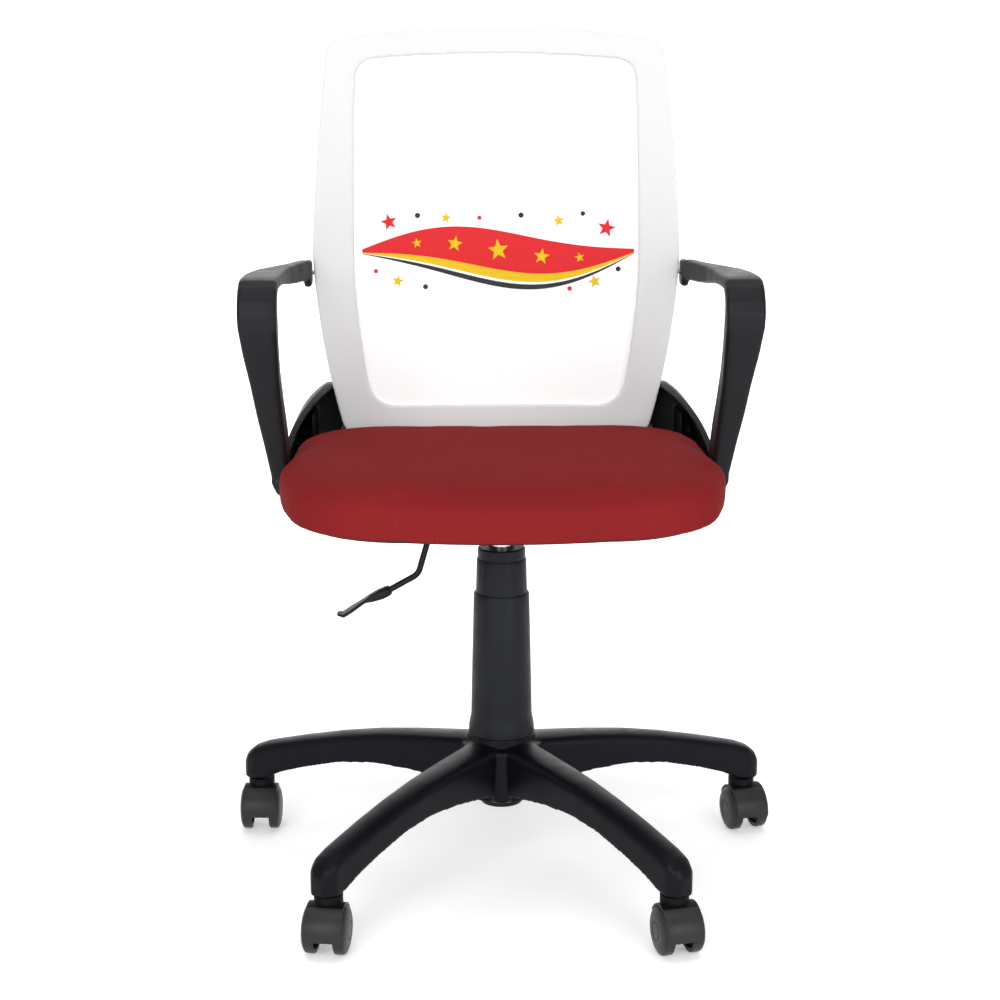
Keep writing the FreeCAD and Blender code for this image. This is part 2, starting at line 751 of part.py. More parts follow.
def lever_handle():
    """Plastic grip over the rod's end that flattens into a paddle."""
    knee = V(-lever_knee_x, 0, lever_knee_z)
    end = V(-lever_end_x, 0, lever_end_z)
    line = end.sub(knee).normalize()
    start = end.sub(V(line).multiply(grip_len * grip_bore_share))
    droop = V(line).add(V(0, 0, -grip_droop_share)).normalize()
    curl = V(line).add(V(0, 0, blade_curl_share)).normalize()
    grip_shares = ((0.0, 0.85, 0.86), (0.12, 0.96, 1.0), (0.4, 1.0, 0.98), (0.75, 1.0, 0.68))
    rows = [(start.add(V(line).multiply(grip_len * along_share)), line, width * grip_w, thick * grip_t)
            for along_share, width, thick in grip_shares]
    grip_end = start.add(V(line).multiply(grip_len))
    neck_shares = (1.05, 0.3)
    rows.append((grip_end, droop, neck_shares[0] * grip_w, neck_shares[1] * grip_t))
    blade_shares = (0.5, 0.82, 0.18)
    rows.append((grip_end.add(V(droop).multiply(blade_len * blade_shares[0])), droop, blade_w, blade_t))
    blade_end = grip_end.add(V(droop).multiply(blade_len * blade_shares[1]))
    tip_shares = ((0.92, 0.95), (0.55, 0.8))
    rows.append((blade_end, line, tip_shares[0][0] * blade_w, tip_shares[0][1] * blade_t))
    rows.append((blade_end.add(V(curl).multiply(blade_len * blade_shares[2])), curl,
                 tip_shares[1][0] * blade_w, tip_shares[1][1] * blade_t))
    wires = [rounded_section(place, tangent, Y_AXIS, width, thick, thick * 0.42)
             for place, tangent, width, thick in rows]
    handle = Part.makeLoft(wires, True, True)
    core = Part.makeCylinder(lever_rod_r + running_gap, grip_len * grip_bore_share + overrun, end,
                             V(line).multiply(-1))
    return handle.cut(core)


def seat_outline(inset, z):
    """The seat's plan at a level, drawn in all round: a rounded hexagon with a bowed front."""
    scale = 1 - inset / seat_wide_half
    middle_y = (seat_front_y + seat_back_y) / 2
    shoulder_y = seat_front_y + seat_front_bow
    places = [(seat_front_half, shoulder_y), (seat_wide_half, seat_wide_y), (seat_back_half, seat_back_y),
              (-seat_back_half, seat_back_y), (-seat_wide_half, seat_wide_y), (-seat_front_half, shoulder_y)]
    corners = [V(scale * x, middle_y + scale * (y - middle_y), z) for x, y in places]
    front_y = middle_y + scale * (seat_front_y - middle_y)
    right_radii = [scale * seat_front_corner_r, scale * seat_side_r, scale * seat_back_corner_r]
    radii = right_radii + right_radii[::-1]
    edges = []
    ends = []
    for index, corner in enumerate(corners):
        before = corners[index - 1]
        after = corners[(index + 1) % len(corners)]
        into = corner.sub(before).normalize()
        out = after.sub(corner).normalize()
        half_turn = into.getAngle(out) / 2
        setback = radii[index] * math.tan(half_turn)
        inward = V(out).sub(into).normalize()
        middle = corner.add(inward.multiply(radii[index] * (1 / math.cos(half_turn) - 1)))
        ends.append((corner.sub(V(into).multiply(setback)), middle, corner.add(V(out).multiply(setback))))
    for index, (arc_start, middle, arc_end) in enumerate(ends):
        edges.append(Part.Arc(arc_start, middle, arc_end).toShape())
        next_start = ends[(index + 1) % len(ends)][0]
        if index == len(ends) - 1:
            bow = V(0, front_y, z)
            edges.append(Part.Arc(arc_end, bow, next_start).toShape())
        else:
            edges.append(Part.makeLine(arc_end, next_start))
    return Part.Wire(edges)


def flat_sheet(inset, low_z, thick):
    """A flat sheet with the seat's plan."""
    return Part.Face(seat_outline(inset, low_z)).extrude(V(0, 0, thick))


def seat_board():
    """Plywood board with a hole for each nut."""
    board = flat_sheet(board_inset, board_low_z, board_t)
    return board.cut(bolt_holes(board_bolt_places(), nut_barrel_r + seat_gap))


def dust_cover():
    """Thin cloth stapled under the board, with holes for the bolts."""
    sheet = flat_sheet(dust_inset, board_low_z - dust_t, dust_t)
    return sheet.cut(bolt_holes(board_bolt_places(), bolt_r + slide_gap))


def seat_cushion():
    """Upholstered cushion: crowned top, rounded drawn-in sides, wrapped round the board."""
    levels = []
    side_degrees = (90, 62, 34, 0)
    for degrees in side_degrees:
        angle = math.radians(degrees)
        levels.append(((1 - math.cos(angle)) * seat_low_inset,
                       seat_belly_z - math.sin(angle) * (seat_belly_z - board_low_z)))
    levelling, steepness = seat_crown_powers
    crown_shares = (0.004, 0.02, 0.06, 0.14, 0.27, 0.46, 0.7, 1.0)
    for share in crown_shares:
        rise = (1 - (1 - share) ** levelling) ** steepness
        levels.append((share * seat_crown_run, seat_belly_z + rise * (seat_top_z - seat_belly_z)))
    wires = [seat_outline(inset, z) for inset, z in levels]
    cushion = Part.makeLoft(wires, True, True)
    pocket = flat_sheet(board_inset - slide_gap, board_low_z - overrun, board_t + overrun + slide_gap)
    nut_space = flat_sheet(board_inset + nut_space_inset, board_low_z, board_t + nut_flange_t + slide_gap)
    return cushion.cut([pocket, nut_space])


def arm_path():
    """Stations of the right armrest: centre, direction, width hint, depth, thickness."""
    up = V(0, -math.sin(math.radians(arm_lean)), math.cos(math.radians(arm_lean)))
    post_hint = Y_AXIS
    rows = []
    foot_z = seat_top_face_z() - arm_foot_t / 2
    bend_x = arm_post_x - arm_low_bend_r
    foot_shares = (0.0, 0.28, 0.52, 0.72, 0.88, 1.0)
    for share in foot_shares:
        x = arm_foot_x + share * (bend_x - arm_foot_x)
        rows.append((V(x, arm_foot_y, foot_z), X_AXIS, post_hint, arm_foot_w, arm_foot_t))
    bend_rise = foot_z + arm_low_bend_r
    low_turn_shares = ((30, 0.2), (60, 0.6), (88, 0.95))
    for degrees, thick_share in low_turn_shares:
        angle = math.radians(degrees)
        place = V(bend_x + arm_low_bend_r * math.sin(angle), arm_foot_y,
                  bend_rise - arm_low_bend_r * math.cos(angle))
        tangent = V(math.cos(angle), 0, math.sin(angle))
        thick = arm_foot_t + thick_share * (arm_post_t - arm_foot_t)
        rows.append((place, tangent, post_hint, arm_foot_w, thick))
    top_centre_z = arm_top_z - arm_top_t / 2
    turn_start = math.radians(arm_lean)
    post_top_z = top_centre_z - arm_top_bend_r * (1 + math.sin(turn_start))
    post_low_z = bend_rise + arm_low_bend_r * arm_low_bend_share
    post_shares = ((0.0, 0.02, 1.0, 0.0), (0.22, 0.24, 0.86, 0.22), (0.42, 0.50, 0.74, 0.40),
                   (0.64, 0.72, 0.64, 0.56), (0.84, 0.90, 0.56, 0.82), (1.0, 0.985, 0.52, 0.97))
    for rise, out, depth, wide in post_shares:
        z = post_low_z + rise * (post_top_z - post_low_z)
        y = arm_foot_y - (z - post_low_z) * math.tan(turn_start)
        x = arm_post_x + out * (arm_top_x - arm_post_x)
        thick = arm_post_t + wide * (arm_top_w - arm_post_t)
        tangent = V((arm_top_x - arm_post_x) / (post_top_z - post_low_z), up.y, up.z).normalize()
        if rise == 1.0:
            tangent = up
        rows.append((V(x, y, z), tangent, post_hint, arm_foot_w * depth, thick))
    post_top_y = arm_foot_y - (post_top_z - post_low_z) * math.tan(turn_start)
    bend_y = post_top_y + arm_top_bend_r * math.cos(turn_start)
    bend_z = top_centre_z - arm_top_bend_r
    turn_depth = arm_foot_w * post_shares[-1][2]
    turn_shares = (0.2, 0.4, 0.6, 0.8, 1.0)
    for share in turn_shares:
        angle = -turn_start + share * (math.pi / 2 + turn_start)
        place = V(arm_top_x, bend_y - arm_top_bend_r * math.cos(angle),
                  bend_z + arm_top_bend_r * math.sin(angle))
        tangent = V(0, math.sin(angle), math.cos(angle))
        depth = turn_depth + share ** arm_turn_power * (arm_top_t - turn_depth)
        hint = V(0, math.cos(angle), -math.sin(angle))
        rows.append((place, tangent, hint, depth, arm_top_w))
    end_x = back_wide_half + arm_pad_gap + arm_rear_w / 2
    end_y = arm_pad_front_y + arm_edge_r
    inward = arm_top_x - end_x
    run = end_y - bend_y
    top_shares = ((0.22, 0.01, 0.0, 2), (0.42, 0.10, 0.20, 12), (0.60, 0.36, 0.62, 24),
                  (0.78, 0.68, 0.92, 23), (1.0, 1.0, 1.0, 12))
    for along_share, in_share, slim, degrees in top_shares:
        angle = math.radians(degrees)
        depth = arm_top_t + slim * (arm_rear_t - arm_top_t)
        place = V(arm_top_x - in_share * inward, bend_y + along_share * run, arm_top_z - depth / 2)
        tangent = V(-math.sin(angle), math.cos(angle), 0)
        thick = arm_top_w + slim * (arm_rear_w - arm_top_w)
        rows.append((place, tangent, V(0, 0, -1), depth, thick))
    return rows


def armrest():
    """Right loop armrest, from its foot under the board round to its pad on the back."""
    wires = [rounded_section(place, tangent, hint, across, thick, arm_edge_r)
             for place, tangent, hint, across, thick in arm_path()]
    loop = Part.makeLoft(wires, True, True)
    pad_x = back_wide_half + arm_pad_gap
    pad = block((pad_x, arm_pad_front_y, arm_pad_low_z),
                (pad_x + arm_pad_t, arm_pad_back_y, arm_top_z - cover_chamfer))
    pad = pad.makeFillet(arm_pad_corner_r, along(pad.Edges, X_AXIS))
    side_cut = block((0, arm_pad_front_y - overrun, arm_pad_low_z - overrun),
                     (pad_x, arm_pad_back_y + overrun, arm_top_z + overrun))
    foot_z = seat_top_face_z()
    reach = arm_post_x - arm_low_bend_r
    over_foot = block((0, -arm_foot_w, foot_z), (reach, 2 * arm_foot_w, foot_z + arm_foot_t))
    under_foot = block((0, -arm_foot_w, foot_z - 2 * arm_foot_t), (reach, 2 * arm_foot_w, foot_z - arm_foot_t))
    shape = loop.fuse(pad).cut([side_cut, over_foot, under_foot])
    y, z = arm_screw_place()
    shape = shape.cut(Part.makeCylinder(screw_r + slide_gap, overrun + arm_rear_w, V(pad_x - overrun, y, z),
                                        X_AXIS))
    shape = shape.cut(Part.makeCylinder(screw_head_r + slide_gap, overrun,
                                        V(pad_x + arm_pad_t - screw_head_h, y, z), X_AXIS))
    places = [(x, arm_foot_y) for x in arm_bolt_xs]
    return shape.cut(bolt_holes(places, bolt_r + slide_gap)).removeSplitter()


def arm_screw_place():
    """Y and Z of the screw through the armrest's pad."""
    return (back_front_y(back_wide_half, (arm_pad_low_z + arm_top_z) / 2) + back_t / 2,
            (arm_pad_low_z + arm_top_z) / 2)


def arm_screws():
    """One screw each side, through the pad into the side of the back."""
    y, z = arm_screw_place()
    head_x = back_wide_half + arm_pad_gap + arm_pad_t - screw_head_h
    shank = Part.makeCylinder(screw_r, screw_len, V(head_x, y, z), V(-1, 0, 0))
    head = Part.makeCylinder(screw_head_r, screw_head_h, V(head_x, y, z), X_AXIS)
    screw = head.fuse(shank).removeSplitter()
    return Part.makeCompound([screw, mirrored(screw)])


def back_front_y(x, z):
    """Depth of the back's front surface: raked in height and hollow in plan."""
    share = (z - back_span_low_z) / (back_span_top_z - back_span_low_z)
    rake = 0.0
    for (z0, d0), (z1, d1) in zip(back_rake_places, back_rake_places[1:]):
        if z0 <= share <= z1:
            rake = d0 + (d1 - d0) * (share - z0) / (z1 - z0)
    bow = back_sag * (1 - (x / back_wide_half) ** 2)
    return back_side_y + rake * back_rake + bow


def back_slab(front, rear):
    """The curved layer of the back between two depths behind its front surface."""
    wires = []
    for share, rake in back_rake_places:
        z = back_span_low_z + share * (back_span_top_z - back_span_low_z)
        side_y = back_side_y + rake * back_rake + back_sag * (1 - (back_half_span / back_wide_half) ** 2)
        middle_y = back_side_y + rake * back_rake + back_sag

        def at(x, y):
            return V(x, y, z)

        front_arc = Part.Arc(at(-back_half_span, side_y + front), at(0, middle_y + front),
                             at(back_half_span, side_y + front)).toShape()
        rear_arc = Part.Arc(at(back_half_span, side_y + rear), at(0, middle_y + rear),
                            at(-back_half_span, side_y + rear)).toShape()
        wires.append(Part.Wire([
            front_arc, Part.makeLine(at(back_half_span, side_y + front), at(back_half_span, side_y + rear)),
            rear_arc, Part.makeLine(at(-back_half_span, side_y + rear), at(-back_half_span, side_y + front))]))
    return Part.makeLoft(wires, True, False, False, loft_degree)


def through_prism(points, bottom, top, corner_radii):
    """A prism along Y from a mirrored front-view outline with arc sides."""
    low_half, low_z = points[0]
    start_y = back_side_y - 2 * back_t
    depth = back_rake + 6 * back_t

    def at(x, z):
        return V(x, start_y, z)

    (mid_half, mid_z), (wide_half, wide_z) = points[1], points[2]
    (upper_half, upper_z), (top_half, top_z) = points[3], points[4]
    edges = [
        Part.makeLine(at(-low_half, low_z), at(low_half, low_z)),
        Part.Arc(at(low_half, low_z), at(mid_half, mid_z), at(wide_half, wide_z)).toShape(),
        Part.Arc(at(wide_half, wide_z), at(upper_half, upper_z), at(top_half, top_z)).toShape(),
        Part.Arc(at(top_half, top_z), at(0, top), at(-top_half, top_z)).toShape(),
        Part.Arc(at(-top_half, top_z), at(-upper_half, upper_z), at(-wide_half, wide_z)).toShape(),
        Part.Arc(at(-wide_half, wide_z), at(-mid_half, mid_z), at(-low_half, low_z)).toShape(),
    ]
    solid = Part.Face(Part.Wire(edges)).extrude(V(0, depth, 0))
    low_corners = []
    top_corners = []
    for edge in along(solid.Edges, Y_AXIS):
        z = edge.Vertexes[0].Point.z
        if abs(z - bottom) < 1e-6 * bottom:
            low_corners.append(edge)
        elif abs(z - top_z) < 1e-6 * top_z:
            top_corners.append(edge)
    solid = solid.makeFillet(corner_radii[0], low_corners)
    top_corners = [edge for edge in along(solid.Edges, Y_AXIS)
                   if abs(edge.Vertexes[0].Point.z - top_z) < 1e-6 * top_z]
    return solid.makeFillet(corner_radii[1], top_corners)


def back_prism(inset):
    """The back's outer outline as a prism, drawn in by an inset."""
    points = [(back_low_half - inset, back_low_z + inset), (back_lower_half - inset, back_lower_z),
              (back_wide_half - inset, back_wide_z), (back_upper_half - inset, back_upper_z),
              (back_top_half - inset, back_top_z - back_top_drop - inset)]
    radii = (back_low_corner_r - inset, back_top_corner_r - inset)
    return through_prism(points, back_low_z + inset, back_top_z - inset, radii)


def window_prism(grow):
    """The opening for the mesh as a prism, grown by a margin."""
    upper_z = (window_wide_z + window_top_z) / 2
    upper_half = (window_wide_half * 2 + window_top_half) / 3
    points = [(window_low_half + grow, window_low_z - grow), (window_lower_half + grow, window_lower_z),
              (window_wide_half + grow, window_wide_z), (upper_half + grow, upper_z),
              (window_top_half + grow, window_top_z - window_top_drop + grow)]
    radii = (window_low_corner_r + grow, window_top_corner_r + grow)
    return through_prism(points, window_low_z - grow, window_top_z + grow, radii)


def back_frame():
    """White moulded frame with a rebate behind its opening for the mesh."""
    frame = back_slab(0, back_t).common(back_prism(0)).cut(window_prism(0))
    rebate = back_slab(rebate_depth, back_t + overrun).common(window_prism(rebate_w))
    frame = frame.cut(rebate)
    y, z = arm_screw_place()
    pilot = [Part.makeCylinder(screw_r + running_gap, 2 * back_wide_half + 2 * overrun,
                               V(-back_wide_half - overrun, y, z), X_AXIS)]
    pilot[0] = pilot[0].cut(block((-back_wide_half + screw_len, 0, 0),
                                  (back_wide_half - screw_len, 2 * y, 2 * z)))
    for x, screw_z in back_screw_places:
        for side in (-1, 1):
            pilot.append(Part.makeCylinder(screw_r + running_gap, back_t,
                                           V(side * x, back_front_y(x, screw_z) + back_t / 3, screw_z),
                                           Y_AXIS))
    return frame.cut(pilot)


def back_mesh():
    """Mesh panel that lies in the frame's rebate."""
    front = rebate_depth + slide_gap
    return back_slab(front, front + mesh_t).common(window_prism(rebate_w - slide_gap))


def mesh_spline():
    """Plastic strip that holds the mesh's edge in the rebate."""
    front = rebate_depth + mesh_t + 2 * slide_gap
    layer = back_slab(front, front + spline_t)
    return layer.common(window_prism(rebate_w - slide_gap)).cut(window_prism(rebate_w - spline_w))


def bracket_low_z():
    """Underside of the brackets' floors."""
    return seat_top_face_z() - bracket_floor_t


def bracket_front_view(inset):
    """The bracket's outline from the front; a drawn-in one shapes its hollow."""
    foot_x = bracket_foot_x - inset
    belly_x = bracket_belly_x - inset
    start_y = bracket_front_y - overrun
    depth = bracket_back_y - bracket_front_y + 2 * overrun
    top_x = bracket_top_x - inset * bracket_top_inset_shares[0]
    top_z = bracket_top_z - inset * bracket_top_inset_shares[1]
    low_z = bracket_low_z()
    inner_x = bracket_inner_x
    knee_z = low_z + (bracket_belly_z - low_z) * bracket_knee_share
    if inset:
        low_z -= overrun
        inner_x -= overrun

    def at(x, z):
        return V(x, start_y, z)

    edges = [
        Part.makeLine(at(inner_x, low_z), at(foot_x, low_z)),
        Part.makeLine(at(foot_x, low_z), at(foot_x, knee_z)),
        Part.Arc(at(foot_x, knee_z), at(belly_x, bracket_belly_z), at(top_x, top_z)).toShape(),
        Part.makeLine(at(top_x, top_z), at(inner_x, top_z)),
        Part.makeLine(at(inner_x, top_z), at(inner_x, low_z)),
    ]
    return Part.Face(Part.Wire(edges)).extrude(V(0, depth, 0))


def bracket_side_view(raise_floor, rear_wall, lift_rim):
    """The bracket's outline from the side; the raised one shapes its hollow."""
    x = bracket_inner_x - overrun
    width = bracket_foot_x - bracket_inner_x + 2 * overrun
    low_z = bracket_low_z() + raise_floor
    back_y = bracket_back_y - rear_wall
    front_y = bracket_front_y - lift_rim
    rim_y = bracket_back_y - 2 * bracket_rear_wall - back_t / 2
    rim_z = bracket_rear_z + lift_rim
    heel_y = back_y - (bracket_back_y - bracket_front_y) * bracket_heel_shares[0]
    heel_z = low_z + (bracket_rear_z - bracket_low_z()) * bracket_heel_shares[1]
    heel_mid_y = heel_y + (back_y - heel_y) * bracket_heel_mid_shares[0]
    heel_mid_z = low_z + (heel_z - low_z) * bracket_heel_mid_shares[1]

    def at(y, z):
        return V(x, y, z)

    edges = [
        Part.makeLine(at(front_y, low_z), at(heel_y, low_z)),
        Part.Arc(at(heel_y, low_z), at(heel_mid_y, heel_mid_z), at(back_y, heel_z)).toShape(),
        Part.makeLine(at(back_y, heel_z), at(back_y, rim_z)),
        Part.makeLine(at(back_y, rim_z), at(rim_y, rim_z)),
        Part.Arc(at(rim_y, rim_z), at(bracket_mid_y, bracket_mid_z + lift_rim),
                 at(front_y, bracket_front_z + lift_rim)).toShape(),
        Part.makeLine(at(front_y, bracket_front_z + lift_rim), at(front_y, low_z)),
    ]
    return Part.Face(Part.Wire(edges)).extrude(V(width, 0, 0))


def back_bracket():
    """Right back bracket: a hollow scoop from under the board up behind the frame's corner."""
    body = bracket_front_view(0).common(bracket_side_view(0, 0, 0))
    hollow = bracket_front_view(bracket_rim_w).common(
        bracket_side_view(bracket_floor_t, bracket_rear_wall, overrun))
    ribs = []
    rib_front_y = seat_back_y + 2 * slide_gap
    for share in bracket_rib_shares:
        x = bracket_inner_x + share * (bracket_foot_x - bracket_inner_x)
        ribs.append(block((x - bracket_rib_t / 2, rib_front_y, bracket_low_z()),
                          (x + bracket_rib_t / 2, bracket_back_y, bracket_belly_z)))
    middle_z = (bracket_low_z() + bracket_belly_z) / 2
    ribs.append(block((bracket_inner_x, rib_front_y, middle_z - bracket_rib_t / 2),
                      (bracket_foot_x, bracket_back_y, middle_z + bracket_rib_t / 2)))
    hollow = hollow.cut(ribs[0].fuse(ribs[1:]))
    seat_space = flat_sheet(-bracket_seat_gap, seat_top_face_z(), seat_top_z - seat_top_face_z())
    back_space = back_slab(-overrun - back_t, back_t + slide_gap).common(back_prism(-slide_gap))
    shape = body.cut([hollow, seat_space, back_space])
    cutters = bolt_holes([(bracket_bolt_x, y) for y in bracket_bolt_ys], bolt_r + slide_gap)
    for x, z in back_screw_places:
        cutters.append(Part.makeCylinder(screw_r + slide_gap, 3 * back_t, V(x, back_front_y(x, z), z), Y_AXIS))
    return shape.cut(cutters).removeSplitter()


def back_screws():
    """Screws from behind, through the brackets into the frame's lower corners."""
    screws = []
    for x, z in back_screw_places:
        for side in (-1, 1):
            tip_y = back_front_y(x, z) + back_t / 2
            shank = Part.makeCylinder(screw_r, bracket_back_y - tip_y, V(side * x, tip_y, z), Y_AXIS)
            head = Part.makeCylinder(screw_head_r, screw_head_h, V(side * x, bracket_back_y, z), Y_AXIS)
            screws.append(shank.fuse(head).removeSplitter())
    return Part.makeCompound(screws)


def placed_caster(shape, index):
    """A caster piece moved from the stem's axis at the origin to its place."""
    piece = shape.copy()
    piece.rotate(V(0, 0, 0), Z_AXIS, caster_turns[index])
    piece.translate(polar(stem_reach, leg_angle(index)))
    return piece


def caster_hood():
    """Hood over the front of both wheels, with the web between them and the stem's neck."""
    rear = math.radians(hood_rear_angle)
    front_y = -math.sqrt(hood_r ** 2 - (wheel_r - hood_low_z) ** 2)

    def at(y, z):
        return V(-hood_w / 2, caster_trail + y, z)

    rear_y = hood_r * math.cos(rear)
    rear_z = wheel_r + hood_r * math.sin(rear)
    edges = [
        Part.Arc(at(front_y, hood_low_z), at(-hood_r * math.sin(rear / 2), wheel_r + hood_r * math.cos(rear / 2)),
                 at(rear_y, rear_z)).toShape(),
        Part.makeLine(at(rear_y, rear_z), at(wheel_hub_r, wheel_r)),
        Part.makeLine(at(wheel_hub_r, wheel_r), at(wheel_hub_r, hood_low_z)),
        Part.makeLine(at(wheel_hub_r, hood_low_z), at(front_y, hood_low_z)),
    ]
    body = Part.Face(Part.Wire(edges)).extrude(V(hood_w, 0, 0))
    axis_at = V(-hood_w / 2, caster_trail, wheel_r)
    boss = Part.makeCylinder(wheel_hub_r, wheel_gap - 2 * slide_gap,
                             V(-wheel_gap / 2 + slide_gap, caster_trail, wheel_r), X_AXIS)
    neck = turned([(0, neck_shoulder_z - wheel_r / 2), (neck_foot_r, neck_shoulder_z - wheel_r / 2),
                   (neck_r, neck_shoulder_z), (neck_r, leg_foot_z - 2 * slide_gap),
                   (0, leg_foot_z - 2 * slide_gap)])
    shape = body.fuse(neck)
    reach = hood_w
    for side in (-1, 1):
        start = V(side * (wheel_gap / 2 - slide_gap), caster_trail, wheel_r)
        shape = shape.cut(Part.makeCylinder(wheel_r + hood_wheel_gap, reach, start, V(side, 0, 0)))
    shape = shape.fuse(boss)
    axle_hole = Part.makeCylinder(axle_r + running_gap, 2 * hood_w, axis_at.sub(V(hood_w / 2, 0, 0)), X_AXIS)
    stem_hole = cylinder(stem_r + seat_gap, leg_foot_z - stem_sunk, leg_foot_z + overrun)
    return shape.cut(axle_hole).cut(stem_hole).removeSplitter()


def caster_stem():
    """Steel stem, pressed in the hood and turning in the leg."""
    low_z = leg_foot_z - stem_sunk
    top_z = low_z + stem_len - slide_gap
    return turned([(0, low_z), (stem_r, low_z), (stem_r, top_z - cover_chamfer),
                   (stem_r - cover_chamfer, top_z), (0, top_z)])


def caster_axle():
    """Steel pin that carries both wheels."""
    length = wheel_gap + 2 * (wheel_w - wheel_web_t - 2 * slide_gap)
    return Part.makeCylinder(axle_r, length, V(-length / 2, caster_trail, wheel_r), X_AXIS)


def caster_wheel(side):
    """One wheel: tread, domed outer face and hub, hollow on its inner side."""
    inner = wheel_gap / 2
    shoulder = inner + wheel_tread_w
    outer = inner + wheel_w

    def at(radius, across):
        return V(side * across, caster_trail, wheel_r + radius)

    bulge = math.radians(wheel_bulge_angle)
    dome_r = wheel_face_r + (wheel_r - wheel_face_r) * math.cos(bulge)
    dome_x = shoulder + (outer - shoulder) * math.sin(bulge)
    rim_in_x = shoulder - wheel_web_t
    bore_r = axle_r + running_gap
    web_x = outer - wheel_web_t
    hub_x = web_x - wheel_hub_len
    face = outline([at(bore_r, inner), at(wheel_hub_r, inner), at(wheel_hub_r, hub_x),
                    at(wheel_r - wheel_rim_t, rim_in_x), at(wheel_r - wheel_rim_t, inner), at(wheel_r, inner),
                    at(wheel_r, shoulder), at(dome_r, dome_x), at(wheel_face_r, outer), at(0, outer),
                    at(0, web_x), at(bore_r, web_x)])
    return face.revolve(V(0, caster_trail, wheel_r), X_AXIS, 360)


def write(name, shape):
    """One STEP file for one piece."""
    shape.exportStep(os.path.join("parts", name + ".step"))


def build():
    """Every piece of the chair."""
    os.makedirs("parts", exist_ok=True)
    write("star_base", star_base())
    write("gas_tube", gas_tube())
    write("guide_bush", guide_bush())
    write("thrust_bearing", thrust_bearing())
    write("piston_rod", piston_rod())
    write("rod_clip", rod_clip())
    write("bump_stop", bump_stop())
    write("gas_cylinder", gas_cylinder())
    write("release_pin", release_pin())
    write("upper_cover", upper_cover())
    write("middle_cover", middle_cover())
    write("lower_cover", lower_cover())
    write("seat_plate", seat_plate())
    write("plate_bolts", board_bolts(plate_bolt_places(), plate_t))
    write("lever_bush", lever_bush())
    write("lever_rod", lever_rod())
    write("lever_handle", lever_handle())
    write("seat_board", seat_board())
    write("tee_nuts", tee_nuts())
    write("dust_cover", dust_cover())
    write("seat_cushion", seat_cushion())
    right_arm = armrest()
    write("armrest_right", right_arm)
    write("armrest_left", mirrored(right_arm))
    write("arm_bolts", board_bolts(arm_bolt_places(), arm_foot_t))
    write("arm_screws", arm_screws())
    right_bracket = back_bracket()
    write("back_bracket_right", right_bracket)
    write("back_bracket_left", mirrored(right_bracket))
    write("bracket_bolts", board_bolts(bracket_bolt_places(), bracket_floor_t))
    write("back_screws", back_screws())
    write("back_frame", back_frame())
    write("back_mesh", back_mesh())
    write("mesh_spline", mesh_spline())
    hood = caster_hood()
    stem = caster_stem()
    axle = caster_axle()
    wheels = {"left": caster_wheel(-1), "right": caster_wheel(1)}
    for index in range(leg_count):
        number = str(index + 1)
        write("caster_hood_" + number, placed_caster(hood, index))
        write("caster_stem_" + number, placed_caster(stem, index))
        write("caster_axle_" + number, placed_caster(axle, index))
        for side, wheel in wheels.items():
            write("wheel_" + side + "_" + number, placed_caster(wheel, index))


build()
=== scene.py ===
import json
import math

import bmesh
import bpy
from mathutils import Matrix, Vector


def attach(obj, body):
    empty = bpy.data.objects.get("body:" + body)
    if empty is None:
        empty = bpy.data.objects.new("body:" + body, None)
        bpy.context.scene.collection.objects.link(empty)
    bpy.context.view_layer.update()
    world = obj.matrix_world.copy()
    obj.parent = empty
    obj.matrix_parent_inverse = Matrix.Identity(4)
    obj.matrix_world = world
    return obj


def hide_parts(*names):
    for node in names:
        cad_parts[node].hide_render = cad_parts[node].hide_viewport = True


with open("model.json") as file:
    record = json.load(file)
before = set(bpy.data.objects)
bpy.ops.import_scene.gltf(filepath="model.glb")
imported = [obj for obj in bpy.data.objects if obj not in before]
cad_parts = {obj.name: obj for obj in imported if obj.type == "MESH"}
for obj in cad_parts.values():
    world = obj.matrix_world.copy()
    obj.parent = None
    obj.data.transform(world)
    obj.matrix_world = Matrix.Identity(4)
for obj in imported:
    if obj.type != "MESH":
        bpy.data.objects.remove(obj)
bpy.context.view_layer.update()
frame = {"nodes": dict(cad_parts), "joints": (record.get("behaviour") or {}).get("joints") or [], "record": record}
nodes = frame["nodes"]
scene = bpy.context.scene

# Camera, fitted to the photograph: focal length in pixels of a 1000 pixel frame
focal_px = 1903.0
frame_px = 1000.0
camera_distance = 2.051
camera_height = 0.867
camera_pitch_deg = 12.4
camera_turn_deg = 1.5
camera_shift = (-0.0015, 0.0003)

# Seat cushion
seat_front_y = -0.236
seat_back_y = 0.185
seat_wide_y = -0.063
seat_front_half = 0.199
seat_wide_half = 0.2395
seat_back_half = 0.2255
seat_front_bow = 0.012
seat_front_corner_r = 0.115
seat_side_r = 0.285
seat_back_corner_r = 0.081
seat_low_z = 0.420
seat_belly_z = 0.450
seat_top_z = 0.475
seat_crown_run = 0.120
seat_crown_powers = (2.7, 0.3)      # how quickly the top levels off inwards, then how steeply it starts
swell = 0.004               # how much smaller the cushion starts before it is puffed up
seat_start_inset = 0.004    # how far the lower edge starts drawn in, before it is puffed up
seat_flat = 0.0015          # how much of the swollen underside is pressed flat on the board
seat_edge_power = 1.6       # how squarely the cover turns under the board's edge
cover_voxel = 0.005
cover_pressure = 4.0
cover_reach = 0.007         # how far the pressure may move the cover
cover_frames = 20

